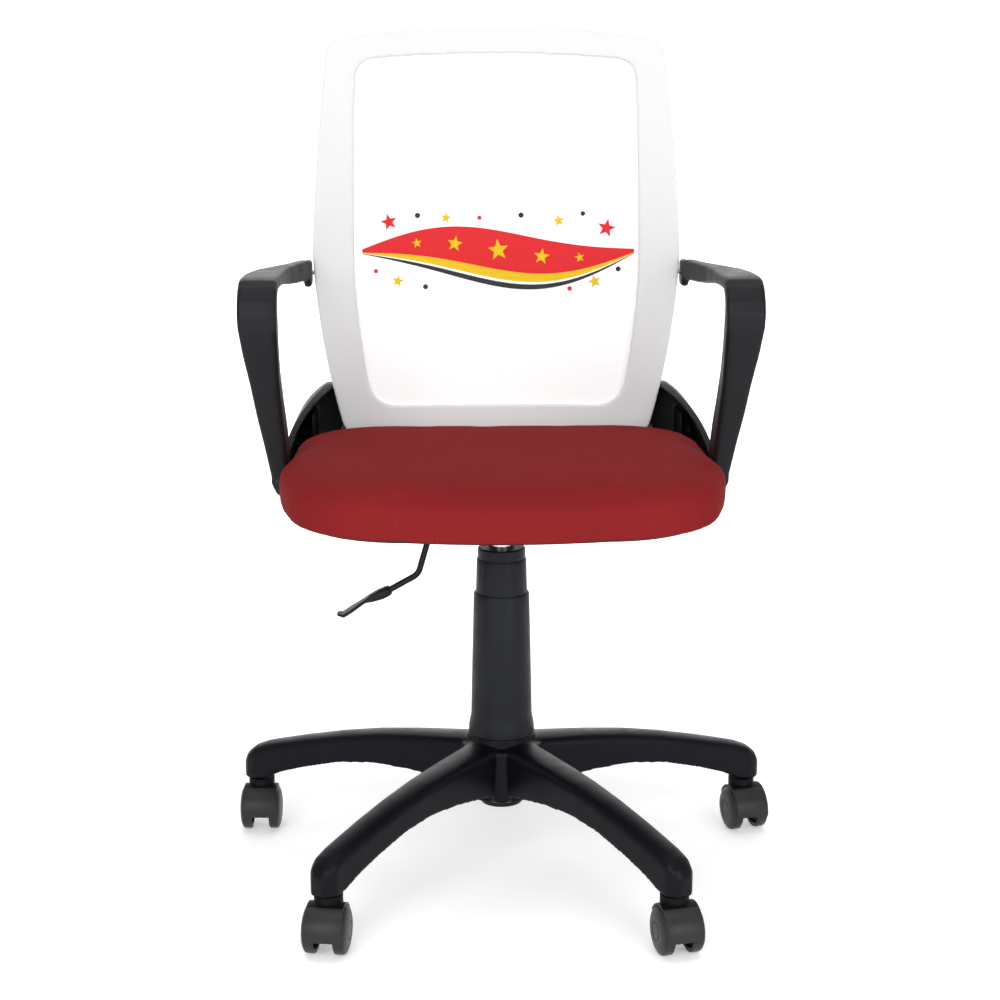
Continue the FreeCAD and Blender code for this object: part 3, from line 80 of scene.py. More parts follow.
# Back
back_side_y = 0.205
back_rake = 0.080
back_sag = 0.018
back_wide_half = 0.2187
back_span = (0.430, 0.960)
back_rake_shares = ((0.0, 0.0), (0.15, 0.03), (0.33, 0.09), (0.51, 0.24), (0.70, 0.475), (1.0, 1.0))
window_low_z = 0.4855
window_top_z = 0.901
window_top_drop = 0.008
window_side = ((0.149, 0.4855), (0.1615, 0.560), (0.170, 0.660))
window_upper = ((0.170, 0.660), (0.169, 0.7805), (0.167, 0.893))
net_depth = 0.0068          # of the net behind the back's front surface
net_hem = 0.006             # how far the net reaches into its groove

# Print on the net: a ribbon with stars
print_left = -0.160
print_right = 0.165
print_middle_z = 0.670
ribbon_wave = 0.009
ribbon_end_half = 0.002
ribbon_half = 0.023
ink_lift = 0.0002           # how far each layer of ink stands proud of the one under it
star_waist_share = 0.42     # a star's inner corners, as a share of its points

# Casters
wheel_r = 0.025
wheel_w = 0.0134
wheel_gap = 0.0206
wheel_tread_w = 0.0082
wheel_face_r = 0.012
wheel_bore_r = 0.0031
wheel_hub_r = 0.007
wheel_hub_depth = 0.006     # of the hub's inner end behind the outer face
wheel_rim_t = 0.004
wheel_web_t = 0.003
wheel_edge_r = 0.0008
wheel_segments = 56
ring_r = 0.010
ring_w = 0.0012
ring_depth = 0.0006
# above this height the caster hood gets painted shade, the shadow under the leg
neck_shade_low_z = 0.0515

# Round bosses in the corners between the legs at the hub
boss_reach = 0.0385         # column axis to each boss
boss_low_r = 0.0120
boss_top_r = 0.0085
boss_low_z = 0.080
boss_top_z = 0.139

# Skins of the mouldings: size of their mesh, and the angle above which an edge stays sharp
frame_voxel = 0.0020
base_voxel = 0.0015
arm_voxel = 0.0016
grip_voxel = 0.0008
hood_edge_r = 0.0006
weld_reach = 0.00001
flat_deg = 0.6
crease_deg = 32.0
wheel_crease_deg = 40.0

# Surface patterns, in metres
drift_size = 0.060          # slow changes of tone
gloss_patch_size = 0.020
ripple_size = 0.012
ripple_depth = 0.001
grain_depth = 0.00012
scuff_size = 0.008          # marks on metal
weave_pitch = 0.0011
net_pitch = 0.0017
net_row_share = 0.87        # distance between the net's rows, as a share of its pitch

# Studio
floor_half = 7.0
floor_front_y = -6.0
backdrop_y = 3.2
backdrop_top_z = 6.0
sweep_r = 1.2               # curve from the floor into the backdrop
floor_glow = 0.24           # the paper is lit a little from below
surround_glow = 0.50
wide_deg = 180.0
narrow_deg = 105.0
chair_middle = (0.0, 0.0, 0.55)
backdrop_middle = (0.0, backdrop_y, 0.9)
seat_floor = (0.0, -0.2, 0.0)
lamps = (                   # place, aim, size, watts, spread
    ("key", (-1.2, -2.8, 1.5), chair_middle, 2.0, 48.0, wide_deg),
    ("fill", (1.6, -2.7, 1.2), chair_middle, 2.2, 42.0, wide_deg),
    ("top", (0.0, -0.3, 3.0), seat_floor, 2.6, 26.0, wide_deg),
    ("rear", (0.0, 1.4, 3.0), backdrop_middle, 2.4, 36.0, narrow_deg))

# Lever grip
grip_bend_x = -0.128
grip_lift = 0.0085
grip_lift_power = 1.2


def new_material(name):
    """An empty node material with its Principled shader."""
    material = bpy.data.materials.new(name)
    material.use_nodes = True
    return material, material.node_tree, material.node_tree.nodes["Principled BSDF"]


def add(tree, kind, **inputs):
    """A node with its input values set by name."""
    node = tree.nodes.new(kind)
    for key, value in inputs.items():
        node.inputs[key.replace("_", " ")].default_value = value
    return node


def position(tree, scale=1.0):
    """Object coordinates, scaled, so a pattern has its real size."""
    coordinates = tree.nodes.new("ShaderNodeTexCoord")
    mapping = add(tree, "ShaderNodeMapping", Scale=(scale, scale, scale))
    tree.links.new(coordinates.outputs["Object"], mapping.inputs["Vector"])
    return mapping.outputs["Vector"]


def noise_field(tree, size, detail=3.0, roughness=0.55):
    """Noise whose features are about this many metres across."""
    field = add(tree, "ShaderNodeTexNoise", Scale=1.0, Detail=detail, Roughness=roughness)
    tree.links.new(position(tree, 1.0 / size), field.inputs["Vector"])
    return field.outputs["Fac"]


def ranged(tree, value, low, high, from_low=0.0, from_high=1.0):
    """A value mapped to a range."""
    node = add(tree, "ShaderNodeMapRange", From_Min=from_low, From_Max=from_high, To_Min=low,
               To_Max=high)
    tree.links.new(value, node.inputs["Value"])
    return node.outputs["Result"]


def colour_mix(tree, blend="MIX"):
    """A mix node for colours, with its two colour inputs and its colour output."""
    node = tree.nodes.new("ShaderNodeMix")
    node.data_type = "RGBA"
    node.blend_type = blend
    first, second = [socket for socket in node.inputs if socket.type == "RGBA"]
    result = [socket for socket in node.outputs if socket.type == "RGBA"][0]
    return node, first, second, result


def blended(tree, factor, dark, light):
    """Two colours mixed by a factor."""
    node, first, second, result = colour_mix(tree)
    first.default_value = dark
    second.default_value = light
    tree.links.new(factor, node.inputs["Factor"])
    return result


def raised(tree, shader, height, strength, distance, before=None):
    """Bump from a height field, added to any bump before it."""
    bump = add(tree, "ShaderNodeBump", Strength=strength, Distance=distance)
    tree.links.new(height, bump.inputs["Height"])
    if before:
        tree.links.new(before, bump.inputs["Normal"])
    tree.links.new(bump.outputs["Normal"], shader.inputs["Normal"])
    return bump.outputs["Normal"]


def moulded_plastic(name, dark, light, gloss, shine=0.22, tint=(0.84, 0.89, 1.0, 1), grain=0.0011,
                    strength=0.25):
    """Satin moulded plastic: a fine spark-eroded grain, slow tone drift and uneven gloss."""
    material, tree, shader = new_material(name)
    drift = noise_field(tree, drift_size, 4.0)
    tree.links.new(blended(tree, drift, dark, light), shader.inputs["Base Color"])
    patches = noise_field(tree, gloss_patch_size, 5.0)
    rough = ranged(tree, patches, gloss - 0.05, gloss + 0.07, 0.3, 0.7)
    tree.links.new(rough, shader.inputs["Roughness"])
    coarse = raised(tree, shader, noise_field(tree, ripple_size, 2.0), 0.06, ripple_depth)
    raised(tree, shader, noise_field(tree, grain, 2.0), strength, grain_depth, coarse)
    shader.inputs["Specular IOR Level"].default_value = shine
    shader.inputs["Specular Tint"].default_value = tint
    return material


def metal(name, colour, gloss, streak=0.0008, strength=0.04):
    """Plated or painted metal with faint marks and uneven gloss."""
    material, tree, shader = new_material(name)
    shader.inputs["Metallic"].default_value = 1.0
    darker = tuple(0.8 * part for part in colour[:3]) + (1.0,)
    tones = noise_field(tree, drift_size / 2, 5.0)
    tree.links.new(blended(tree, tones, darker, colour), shader.inputs["Base Color"])
    scuffs = noise_field(tree, scuff_size, 6.0)
    tree.links.new(ranged(tree, scuffs, gloss, gloss + 0.12, 0.35, 0.7), shader.inputs["Roughness"])
    raised(tree, shader, noise_field(tree, streak, 2.0), strength, 0.0001)
    return material


def woven(name, dark, light, pitch, sheen, depth=0.00025, gloss=0.85):
    """Upholstery cloth: over-and-under threads, mottled yarn and a soft sheen."""
    material, tree, shader = new_material(name)
    place = position(tree)
    threads = []
    for axis in ("X", "Y"):
        wave = tree.nodes.new("ShaderNodeTexWave")
        wave.wave_type = "BANDS"
        wave.bands_direction = axis
        wave.wave_profile = "SIN"
        wave.inputs["Scale"].default_value = 1.0 / (pitch * math.pi)
        wave.inputs["Distortion"].default_value = 0.6
        wave.inputs["Detail"].default_value = 2.0
        wave.inputs["Detail Scale"].default_value = 1.5
        tree.links.new(place, wave.inputs["Vector"])
        threads.append(wave.outputs["Fac"])
    weave = tree.nodes.new("ShaderNodeMath")
    weave.operation = "MULTIPLY"
    tree.links.new(threads[0], weave.inputs[0])
    tree.links.new(threads[1], weave.inputs[1])
    yarn = noise_field(tree, 0.0016, 3.0)
    tone = tree.nodes.new("ShaderNodeMath")
    tone.operation = "MULTIPLY_ADD"
    tree.links.new(weave.outputs["Value"], tone.inputs[0])
    tone.inputs[1].default_value = 0.55
    tree.links.new(ranged(tree, yarn, 0.0, 0.5, 0.3, 0.7), tone.inputs[2])
    shade = blended(tree, tone.outputs["Value"], dark, light)
    worn, first, second, result = colour_mix(tree, "MULTIPLY")
    worn.inputs["Factor"].default_value = 1.0
    tree.links.new(shade, first)
    fading = noise_field(tree, 1.5 * drift_size, 4.0)
    tree.links.new(blended(tree, fading, (0.86, 0.86, 0.86, 1), (1.1, 1.1, 1.1, 1)), second)
    tree.links.new(result, shader.inputs["Base Color"])
    shader.inputs["Roughness"].default_value = gloss
    shader.inputs["Sheen Weight"].default_value = sheen
    shader.inputs["Sheen Roughness"].default_value = 0.5
    shader.inputs["Specular IOR Level"].default_value = 0.03
    soft = raised(tree, shader, noise_field(tree, 0.05, 3.0), 0.08, 0.002)
    raised(tree, shader, weave.outputs["Value"], 0.35, depth, soft)
    return material


def netting(name, thread, shadow, pitch=net_pitch, clear=0.12):
    """Spacer net: small round holes in even rows, shown by bump, tone and some see-through."""
    material, tree, shader = new_material(name)
    cells = add(tree, "ShaderNodeTexVoronoi", Scale=1.0, Randomness=0.0)
    cells.feature = "F1"
    mapping = add(tree, "ShaderNodeMapping", Scale=(1.0 / pitch, 0.0, 1.0 / (pitch * net_row_share)))
    coordinates = tree.nodes.new("ShaderNodeTexCoord")
    tree.links.new(coordinates.outputs["Object"], mapping.inputs["Vector"])
    tree.links.new(mapping.outputs["Vector"], cells.inputs["Vector"])
    hole = ranged(tree, cells.outputs["Distance"], 1.0, 0.0, 0.18, 0.42)
    tree.links.new(blended(tree, hole, thread, shadow), shader.inputs["Base Color"])
    tree.links.new(ranged(tree, hole, 1.0, 1.0 - clear), shader.inputs["Alpha"])
    shader.inputs["Roughness"].default_value = 0.7
    shader.inputs["Specular IOR Level"].default_value = 0.1
    raised(tree, shader, ranged(tree, hole, 1.0, 0.0), 0.3, 0.0002)
    return material


def plywood():
    """Pale plywood with long grain."""
    material, tree, shader = new_material("plywood")
    grain = add(tree, "ShaderNodeTexNoise", Scale=1.0, Detail=6.0, Roughness=0.6)
    stretch = add(tree, "ShaderNodeMapping", Scale=(260.0, 18.0, 260.0))
    coordinates = tree.nodes.new("ShaderNodeTexCoord")
    tree.links.new(coordinates.outputs["Object"], stretch.inputs["Vector"])
    tree.links.new(stretch.outputs["Vector"], grain.inputs["Vector"])
    tone = blended(tree, grain.outputs["Fac"], (0.38, 0.25, 0.13, 1), (0.68, 0.5, 0.31, 1))
    tree.links.new(tone, shader.inputs["Base Color"])
    shader.inputs["Roughness"].default_value = 0.65
    raised(tree, shader, grain.outputs["Fac"], 0.3, 0.0004)
    return material


plain = (1.0, 1.0, 1.0, 1)
materials = {
    "base_nylon": moulded_plastic(
        "base_nylon", (0.0020, 0.0018, 0.0030, 1), (0.0048, 0.0044, 0.0068, 1), 0.40, 0.13),
    "arm_nylon": moulded_plastic(
        "arm_nylon", (0.0048, 0.0040, 0.0047, 1), (0.0080, 0.0070, 0.0080, 1), 0.48, 0.23),
    "caster_nylon": moulded_plastic(
        "caster_nylon", (0.0195, 0.0172, 0.0174, 1), (0.0305, 0.0275, 0.0278, 1), 0.38, 0.20),
    "cover_plastic": moulded_plastic(
        "cover_plastic", (0.0068, 0.0070, 0.0092, 1), (0.0110, 0.0114, 0.0148, 1), 0.45, 0.18),
    "back_plastic": moulded_plastic(
        "back_plastic", (0.620, 0.626, 0.628, 1), (0.640, 0.646, 0.648, 1), 0.42, 0.10, plain, 0.0014,
        0.10),
    "white_plastic": moulded_plastic(
        "white_plastic", (0.70, 0.70, 0.69, 1), (0.76, 0.76, 0.75, 1), 0.45, 0.2, plain),
    "black_rubber": moulded_plastic(
        "black_rubber", (0.010, 0.010, 0.010, 1), (0.02, 0.02, 0.02, 1), 0.7),
    "back_net": netting("back_net", (0.96, 0.96, 0.96, 1), (0.86, 0.86, 0.865, 1)),
    "seat_fabric": woven(
        "seat_fabric", (0.178, 0.0124, 0.0134, 1), (0.210, 0.0150, 0.0162, 1), weave_pitch, 0.0,
        0.00008),
    "dust_cloth": woven("dust_cloth", (0.008, 0.008, 0.009, 1), (0.022, 0.022, 0.024, 1), 0.0012, 0.05),
    "plywood": plywood(),
    "black_steel": metal("black_steel", (0.026, 0.026, 0.029, 1), 0.36),
    "chrome_steel": metal("chrome_steel", (0.72, 0.72, 0.74, 1), 0.08, strength=0.01),
    "bright_steel": metal("bright_steel", (0.55, 0.55, 0.56, 1), 0.28),
    "zinc_steel": metal("zinc_steel", (0.56, 0.57, 0.60, 1), 0.32),
}
# A blacker copy of the caster plastic: painted shade for the hood's neck in the shadow under the leg.
neck_painted_shade = moulded_plastic(
    "neck_painted_shade", (0.0030, 0.0028, 0.0030, 1), (0.0060, 0.0056, 0.0060, 1), 0.5, 0.10)
inks = {
    "red": netting("ink_red", (0.66, 0.022, 0.027, 1), (0.52, 0.014, 0.018, 1)),
    "yellow": netting("ink_yellow", (0.74, 0.49, 0.016, 1), (0.60, 0.38, 0.012, 1)),
    "dark": netting("ink_dark", (0.032, 0.032, 0.034, 1), (0.021, 0.021, 0.023, 1)),
}
slot_of = {part["node"]: part["material_slot"] for part in frame["record"]["subparts"]}
for node_name, node in nodes.items():
    node.data.materials.clear()
    node.data.materials.append(materials[slot_of[node_name]])


def make_object(name, mesh, material):
    """A mesh object in the scene with one material."""
    piece = bpy.data.objects.new(name, mesh)
    scene.collection.objects.link(piece)
    mesh.materials.clear()
    mesh.materials.append(material)
    return piece


def made(name, points, faces, material):
    """A smooth mesh object from points and faces."""
    mesh = bpy.data.meshes.new(name)
    mesh.from_pydata(points, [], faces)
    mesh.validate()
    mesh.update()
    for polygon in mesh.polygons:
        polygon.use_smooth = True
    return make_object(name, mesh, material)


def body_of_node(node_name):
    """The body that a CAD node rides on."""
    for body, members in frame["record"]["behaviour"]["bodies"].items():
        if node_name in members:
            return body


def stand_for(piece, node_name):
    """The piece takes a CAD node's place and body, and the node is hidden."""
    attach(piece, body_of_node(node_name))
    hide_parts(node_name)
    return piece


def applied(piece):
    """Applies every modifier to the piece's mesh."""
    depsgraph = bpy.context.evaluated_depsgraph_get()
    mesh = bpy.data.meshes.new_from_object(piece.evaluated_get(depsgraph), depsgraph=depsgraph)
    piece.modifiers.clear()
    piece.data = mesh
    return piece


def joined_copy(name, node_name):
    """A copy of a CAD node's mesh with its faces joined into one skin."""
    piece = make_object(name, nodes[node_name].data.copy(), materials[slot_of[node_name]])
    shape = bmesh.new()
    shape.from_mesh(piece.data)
    bmesh.ops.remove_doubles(shape, verts=shape.verts, dist=weld_reach)
    shape.to_mesh(piece.data)
    shape.free()
    return piece


def add_bosses(piece):
    """Tapered round bosses that fill the corners between the legs, each opposite a caster."""
    shape = bmesh.new()
    shape.from_mesh(piece.data)
    for joint in frame["joints"]:
        if joint["child"].startswith("caster_"):
            away = Vector((-joint["pos_m"][0], -joint["pos_m"][1], 0.0)).normalized()
            middle = Vector((0.0, 0.0, (boss_low_z + boss_top_z) / 2))
            place = Matrix.Translation(away * boss_reach + middle)
            bmesh.ops.create_cone(shape, cap_ends=True, segments=32, radius1=boss_low_r,
                                  radius2=boss_top_r, depth=boss_top_z - boss_low_z, matrix=place)
    shape.to_mesh(piece.data)
    shape.free()


def soft_moulding(name, node_name, voxel, rounds, evening=0.0, bosses=False):
    """A CAD node remade as one even skin with the softened edges of a real moulding."""
    piece = joined_copy(name, node_name)
    if bosses:
        add_bosses(piece)
    remesh = piece.modifiers.new("skin", "REMESH")
    remesh.mode = "VOXEL"
    remesh.voxel_size = voxel
    smooth = piece.modifiers.new("edges", "SMOOTH")
    smooth.factor = 0.5
    smooth.iterations = rounds
    if evening:
        fair = piece.modifiers.new("evened", "LAPLACIANSMOOTH")
        fair.iterations = 2
        fair.lambda_factor = evening
        fair.use_volume_preserve = True
    applied(piece)
    for polygon in piece.data.polygons:
        polygon.use_smooth = True
    return stand_for(piece, node_name)


def crisp_moulding(name, node_name, edge_r):
    """A CAD node with its sharp edges broken by a small radius and its curves shaded smooth."""
    sharp = math.radians(crease_deg)
    piece = joined_copy(name, node_name)
    shape = bmesh.new()
    shape.from_mesh(piece.data)
    bmesh.ops.dissolve_limit(shape, angle_limit=math.radians(flat_deg), verts=shape.verts,
                             edges=shape.edges)
    shape.to_mesh(piece.data)
    shape.free()
    if edge_r:
        bevel = piece.modifiers.new("edges", "BEVEL")
        bevel.width = edge_r
        bevel.segments = 2
        bevel.limit_method = "ANGLE"
        bevel.angle_limit = sharp
        applied(piece)
    shape = bmesh.new()
    shape.from_mesh(piece.data)
    for face in shape.faces:
        face.smooth = True
    for edge in shape.edges:
        edge.smooth = len(edge.link_faces) == 2 and edge.calc_face_angle(0.0) < sharp
    shape.to_mesh(piece.data)
    shape.free()
    return stand_for(piece, node_name)


def rounded_corners(corners, radii, steps):
    """Points round a polygon whose corners are arcs."""
    points = []
    for index, corner in enumerate(corners):
        into = (corner - corners[index - 1]).normalized()
        out = (corners[(index + 1) % len(corners)] - corner).normalized()
        half_turn = into.angle(out) / 2
        setback = radii[index] * math.tan(half_turn)
        centre = corner + (out - into).normalized() * (radii[index] / math.cos(half_turn))
        start = corner - into * setback
        arm = start - centre
        turn = 2 * half_turn * (1 if into.x * out.y - into.y * out.x > 0 else -1)
        for step in range(steps + 1):
            angle = turn * step / steps
            points.append(centre + Vector((arm.x * math.cos(angle) - arm.y * math.sin(angle),
                                           arm.x * math.sin(angle) + arm.y * math.cos(angle))))
    return points


def spaced(points, count):
    """The same closed line with evenly spaced points."""
    ring = points + [points[0]]
    lengths = [0.0]
    for first, second in zip(ring, ring[1:]):
        lengths.append(lengths[-1] + (second - first).length)
    result = []
    place = 0
    for index in range(count):
        target = lengths[-1] * index / count
        while lengths[place + 1] < target:
            place += 1
        share = (target - lengths[place]) / max(lengths[place + 1] - lengths[place], 1e-9)
        result.append(ring[place].lerp(ring[place + 1], share))
    return result


def seat_plan(inset, count):
    """The seat's plan, drawn in all round."""
    scale = 1 - inset / seat_wide_half
    middle = Vector((0.0, (seat_front_y + seat_back_y) / 2))
    shoulder_y = seat_front_y + seat_front_bow
    corners = [Vector(place) for place in (
        (seat_front_half, shoulder_y), (seat_wide_half, seat_wide_y), (seat_back_half, seat_back_y),
        (-seat_back_half, seat_back_y), (-seat_wide_half, seat_wide_y), (-seat_front_half, shoulder_y))]
    corners = [middle + (corner - middle) * scale for corner in corners]
    right_radii = [scale * seat_front_corner_r, scale * seat_side_r, scale * seat_back_corner_r]
    outline = rounded_corners(corners, right_radii + right_radii[::-1], 12)
    start, end = outline[-1], outline[0]
    steps = 16
    for step in range(1, steps):
        share = step / steps
        bow = scale * seat_front_bow * (1 - (2 * share - 1) ** 2)
        outline.append(start.lerp(end, share) - Vector((0.0, bow)))
    return spaced(outline, count)


def lofted(name, rings, material):
    """A closed skin through rings of equally many points, capped at both ends by a centre point."""
    count = len(rings[0])
    points = [point for ring in rings for point in ring]
    faces = []
    for row in range(len(rings) - 1):
        for index in range(count):
            after = (index + 1) % count
            faces.append((row * count + index, row * count + after,
                          (row + 1) * count + after, (row + 1) * count + index))
    for row, flip in ((0, True), (len(rings) - 1, False)):
        centre = sum(rings[row], Vector()) / count
        points.append(centre)
        for index in range(count):
            after = (index + 1) % count
            triangle = (row * count + index, row * count + after, len(points) - 1)
            faces.append(triangle[::-1] if flip else triangle)
    return made(name, points, faces, material)


def puffed(piece, voxel, pressure, cap, frames):
    """Cloth under pressure: the padding pushes the skin out, no further than the cap."""
    shape = piece.modifiers.new("skin", "REMESH")
    shape.mode = "VOXEL"
    shape.voxel_size = voxel
    applied(piece)
    start = [vertex.co.copy() for vertex in piece.data.vertices]
    cloth = piece.modifiers.new("cloth", "CLOTH")
    cloth.settings.use_pressure = True
    cloth.settings.uniform_pressure_force = pressure
    cloth.settings.effector_weights.gravity = 0.0
    cloth.settings.quality = 6
    cloth.settings.tension_stiffness = 18
    cloth.settings.compression_stiffness = 18
    cloth.settings.bending_stiffness = 1.2
    cloth.point_cache.frame_start = 1
    cloth.point_cache.frame_end = frames
    for number in range(1, frames + 1):
        scene.frame_set(number)
    applied(piece)
    for vertex, rest in zip(piece.data.vertices, start):
        moved = vertex.co - rest
        if moved.length > cap:
            vertex.co = rest + moved.normalized() * cap
    scene.frame_set(1)
    return piece


def fitted(piece, low, high, flat):
    """The mesh stretched to fill a box between two corners, with its underside pressed flat."""
    vertices = piece.data.vertices
    lows = [min(vertex.co[axis] for vertex in vertices) for axis in range(3)]
    highs = [max(vertex.co[axis] for vertex in vertices) for axis in range(3)]
    lows[2] += flat
    for vertex in vertices:
        vertex.co.z = max(vertex.co.z, lows[2])
        for axis in range(3):
            share = (vertex.co[axis] - lows[axis]) / (highs[axis] - lows[axis])
            vertex.co[axis] = low[axis] + share * (high[axis] - low[axis])
        if vertex.co.z < seat_belly_z:
            share = (vertex.co.z - seat_low_z) / (seat_belly_z - seat_low_z)
            vertex.co.z = seat_low_z + (seat_belly_z - seat_low_z) * share ** seat_edge_power


def seat_cushion():
    """The red seat: crowned top, rounded sides drawn in under the board's edge, simulated cover."""
    levels = []
    for degrees in range(90, -1, -15):
        angle = math.radians(degrees)
        levels.append(((1 - math.cos(angle)) * seat_start_inset,
                       seat_belly_z - math.sin(angle) * (seat_belly_z - seat_low_z)))
    steps = 22
    levelling, steepness = seat_crown_powers
    for step in range(1, steps + 1):
        share = (step / steps) ** 2
        rise = (1 - (1 - share) ** levelling) ** steepness
        levels.append((share * seat_crown_run, seat_belly_z + rise * (seat_top_z - seat_belly_z)))
    rings = []
    for inset, z in levels:
        lift = seat_low_z + swell / 3 + (z - seat_low_z) * (1 - swell / (seat_top_z - seat_low_z))
        rings.append([Vector((point.x, point.y, lift)) for point in seat_plan(inset + swell, 160)])
    cushion = lofted("seat_cushion_cover", rings, materials["seat_fabric"])
    puffed(cushion, cover_voxel, cover_pressure, cover_reach, cover_frames)
    smooth = cushion.modifiers.new("cloth", "SMOOTH")
    smooth.factor = 0.5
    smooth.iterations = 9
    finer = cushion.modifiers.new("finer", "SUBSURF")
    finer.levels = 1
    finer.render_levels = 1
    applied(cushion)
    fitted(cushion, (-seat_wide_half, seat_front_y, seat_low_z),
           (seat_wide_half, seat_back_y, seat_top_z), seat_flat)
    for polygon in cushion.data.polygons:
        polygon.use_smooth = True
    stand_for(cushion, "seat_cushion")
    return cushion


def back_depth(x, z):
    """Y of the back's front surface."""
    share = (z - back_span[0]) / (back_span[1] - back_span[0])
    rake = back_rake_shares[-1][1]
    places = back_rake_shares
    for index in range(len(places) - 1):
        (s0, d0), (s1, d1) = places[index], places[index + 1]
        if s0 <= share <= s1:
            before = places[max(index - 1, 0)]
            after = places[min(index + 2, len(places) - 1)]
            run = s1 - s0
            m0 = (d1 - before[1]) / (s1 - before[0]) * run
            m1 = (after[1] - d0) / (after[0] - s0) * run
            t = (share - s0) / run
            rake = ((2 * t ** 3 - 3 * t ** 2 + 1) * d0 + (t ** 3 - 2 * t ** 2 + t) * m0
                    + (3 * t ** 2 - 2 * t ** 3) * d1 + (t ** 3 - t ** 2) * m1)
            break
    return back_side_y + rake * back_rake + back_sag * (1 - (x / back_wide_half) ** 2)


def arc_through(first, middle, last, z):
    """X at a height on the arc through three (x, z) places."""
    (x1, z1), (x2, z2), (x3, z3) = first, middle, last
    d = 2 * (x1 * (z2 - z3) + x2 * (z3 - z1) + x3 * (z1 - z2))
    if abs(d) < 1e-9:
        return x1 + (x3 - x1) * (z - z1) / (z3 - z1)
    a, b, c = x1 * x1 + z1 * z1, x2 * x2 + z2 * z2, x3 * x3 + z3 * z3
    centre_x = (a * (z2 - z3) + b * (z3 - z1) + c * (z1 - z2)) / d
    centre_z = (a * (x3 - x2) + b * (x1 - x3) + c * (x2 - x1)) / d
    radius = math.hypot(x1 - centre_x, z1 - centre_z)
    side = 1 if x2 > centre_x else -1
    return centre_x + side * math.sqrt(max(radius ** 2 - (z - centre_z) ** 2, 0.0))


def window_half(z):
    """Half width of the opening in the frame at a height."""
    if z < window_side[2][1]:
        return arc_through(*window_side, max(z, window_side[0][1]))
    return arc_through(*window_upper, min(z, window_upper[2][1]))


def net_panel():
    """The stretched net: one curved sheet whose hem is held in the frame's groove."""
    across = 84
    upward = 104
    points = []
    for row in range(upward + 1):
        for column in range(across + 1):
            share = 2 * column / across - 1
            low = window_low_z - net_hem
            top = window_top_z - window_top_drop * share ** 2 + net_hem
            z = low + (top - low) * row / upward
            x = share * (window_half(z) + net_hem)
            points.append(Vector((x, back_depth(x, z) + net_depth, z)))
    faces = []
    for row in range(upward):
        for column in range(across):
            corner = row * (across + 1) + column
            faces.append((corner, corner + 1, corner + across + 2, corner + across + 1))
    net = made("back_net_sheet", points, faces, materials["back_net"])
    stand_for(net, "back_mesh")
    return net


def on_net(x, z, layer):
    """A place on the printed side of the net."""
    return Vector((x, back_depth(x, z) + net_depth - layer * ink_lift, z))


def inked(name, rows, layer, ink, closed=False):
    """A patch of ink on the net, through rows of equally many (x, z) places."""
    count = len(rows[0])
    points = [on_net(x, z, layer) for row in rows for x, z in row]
    faces = []
    for row in range(len(rows) - 1):
        for index in range(count if closed else count - 1):
            after = (index + 1) % count
            faces.append((row * count + index, row * count + after,
                          (row + 1) * count + after, (row + 1) * count + index))
    patch = made(name, points, faces, inks[ink])
    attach(patch, body_of_node("back_mesh"))
    return patch


def ribbon_edges(share, thick_share, drop):
    """X, lower and upper edge of a wavy ribbon that tapers to both ends."""
    x = print_left + share * (print_right - print_left)
    middle = print_middle_z + ribbon_wave * math.sin(2 * math.pi * share)
    fullness = math.sin(math.pi * share)
    half = ribbon_end_half + (ribbon_half - ribbon_end_half) * fullness
    half_here = half * thick_share
    centre = middle - drop * half
    return x, centre - half_here, centre + half_here


def ribbon(name, thick_share, drop, layer, ink):
    """A wavy band across the net."""
    steps = 72
    across = 6
    rows = []
    for index in range(across + 1):
        row = []
        for step in range(steps + 1):
            x, low, high = ribbon_edges(step / steps, thick_share, drop)
            row.append((x, low + (high - low) * index / across))
        rows.append(row)
    inked(name, rows, layer, ink)


def star(name, x, z, point_r, turn_deg, layer, ink):
    """A plain five-pointed star."""
    corners = []
    for corner in range(10):
        angle = math.radians(90 + turn_deg + 36 * corner)
        reach = point_r if corner % 2 == 0 else star_waist_share * point_r
        corners.append((reach * math.cos(angle), reach * math.sin(angle)))
    rings = []
    for share in (0.02, 0.35, 0.7, 1.0):
        rings.append([(x + share * dx, z + share * dz) for dx, dz in corners])
    inked(name, rings, layer, ink, True)


def dot(name, x, z, radius, layer, ink):
    """A round spot."""
    sides = 28
    turns = [2 * math.pi * side / sides for side in range(sides)]
    rings = []
    for share in (0.04, 0.5, 1.0):
        reach = share * radius
        rings.append([(x + reach * math.cos(turn), z + reach * math.sin(turn)) for turn in turns])
    inked(name, rings, layer, ink, True)


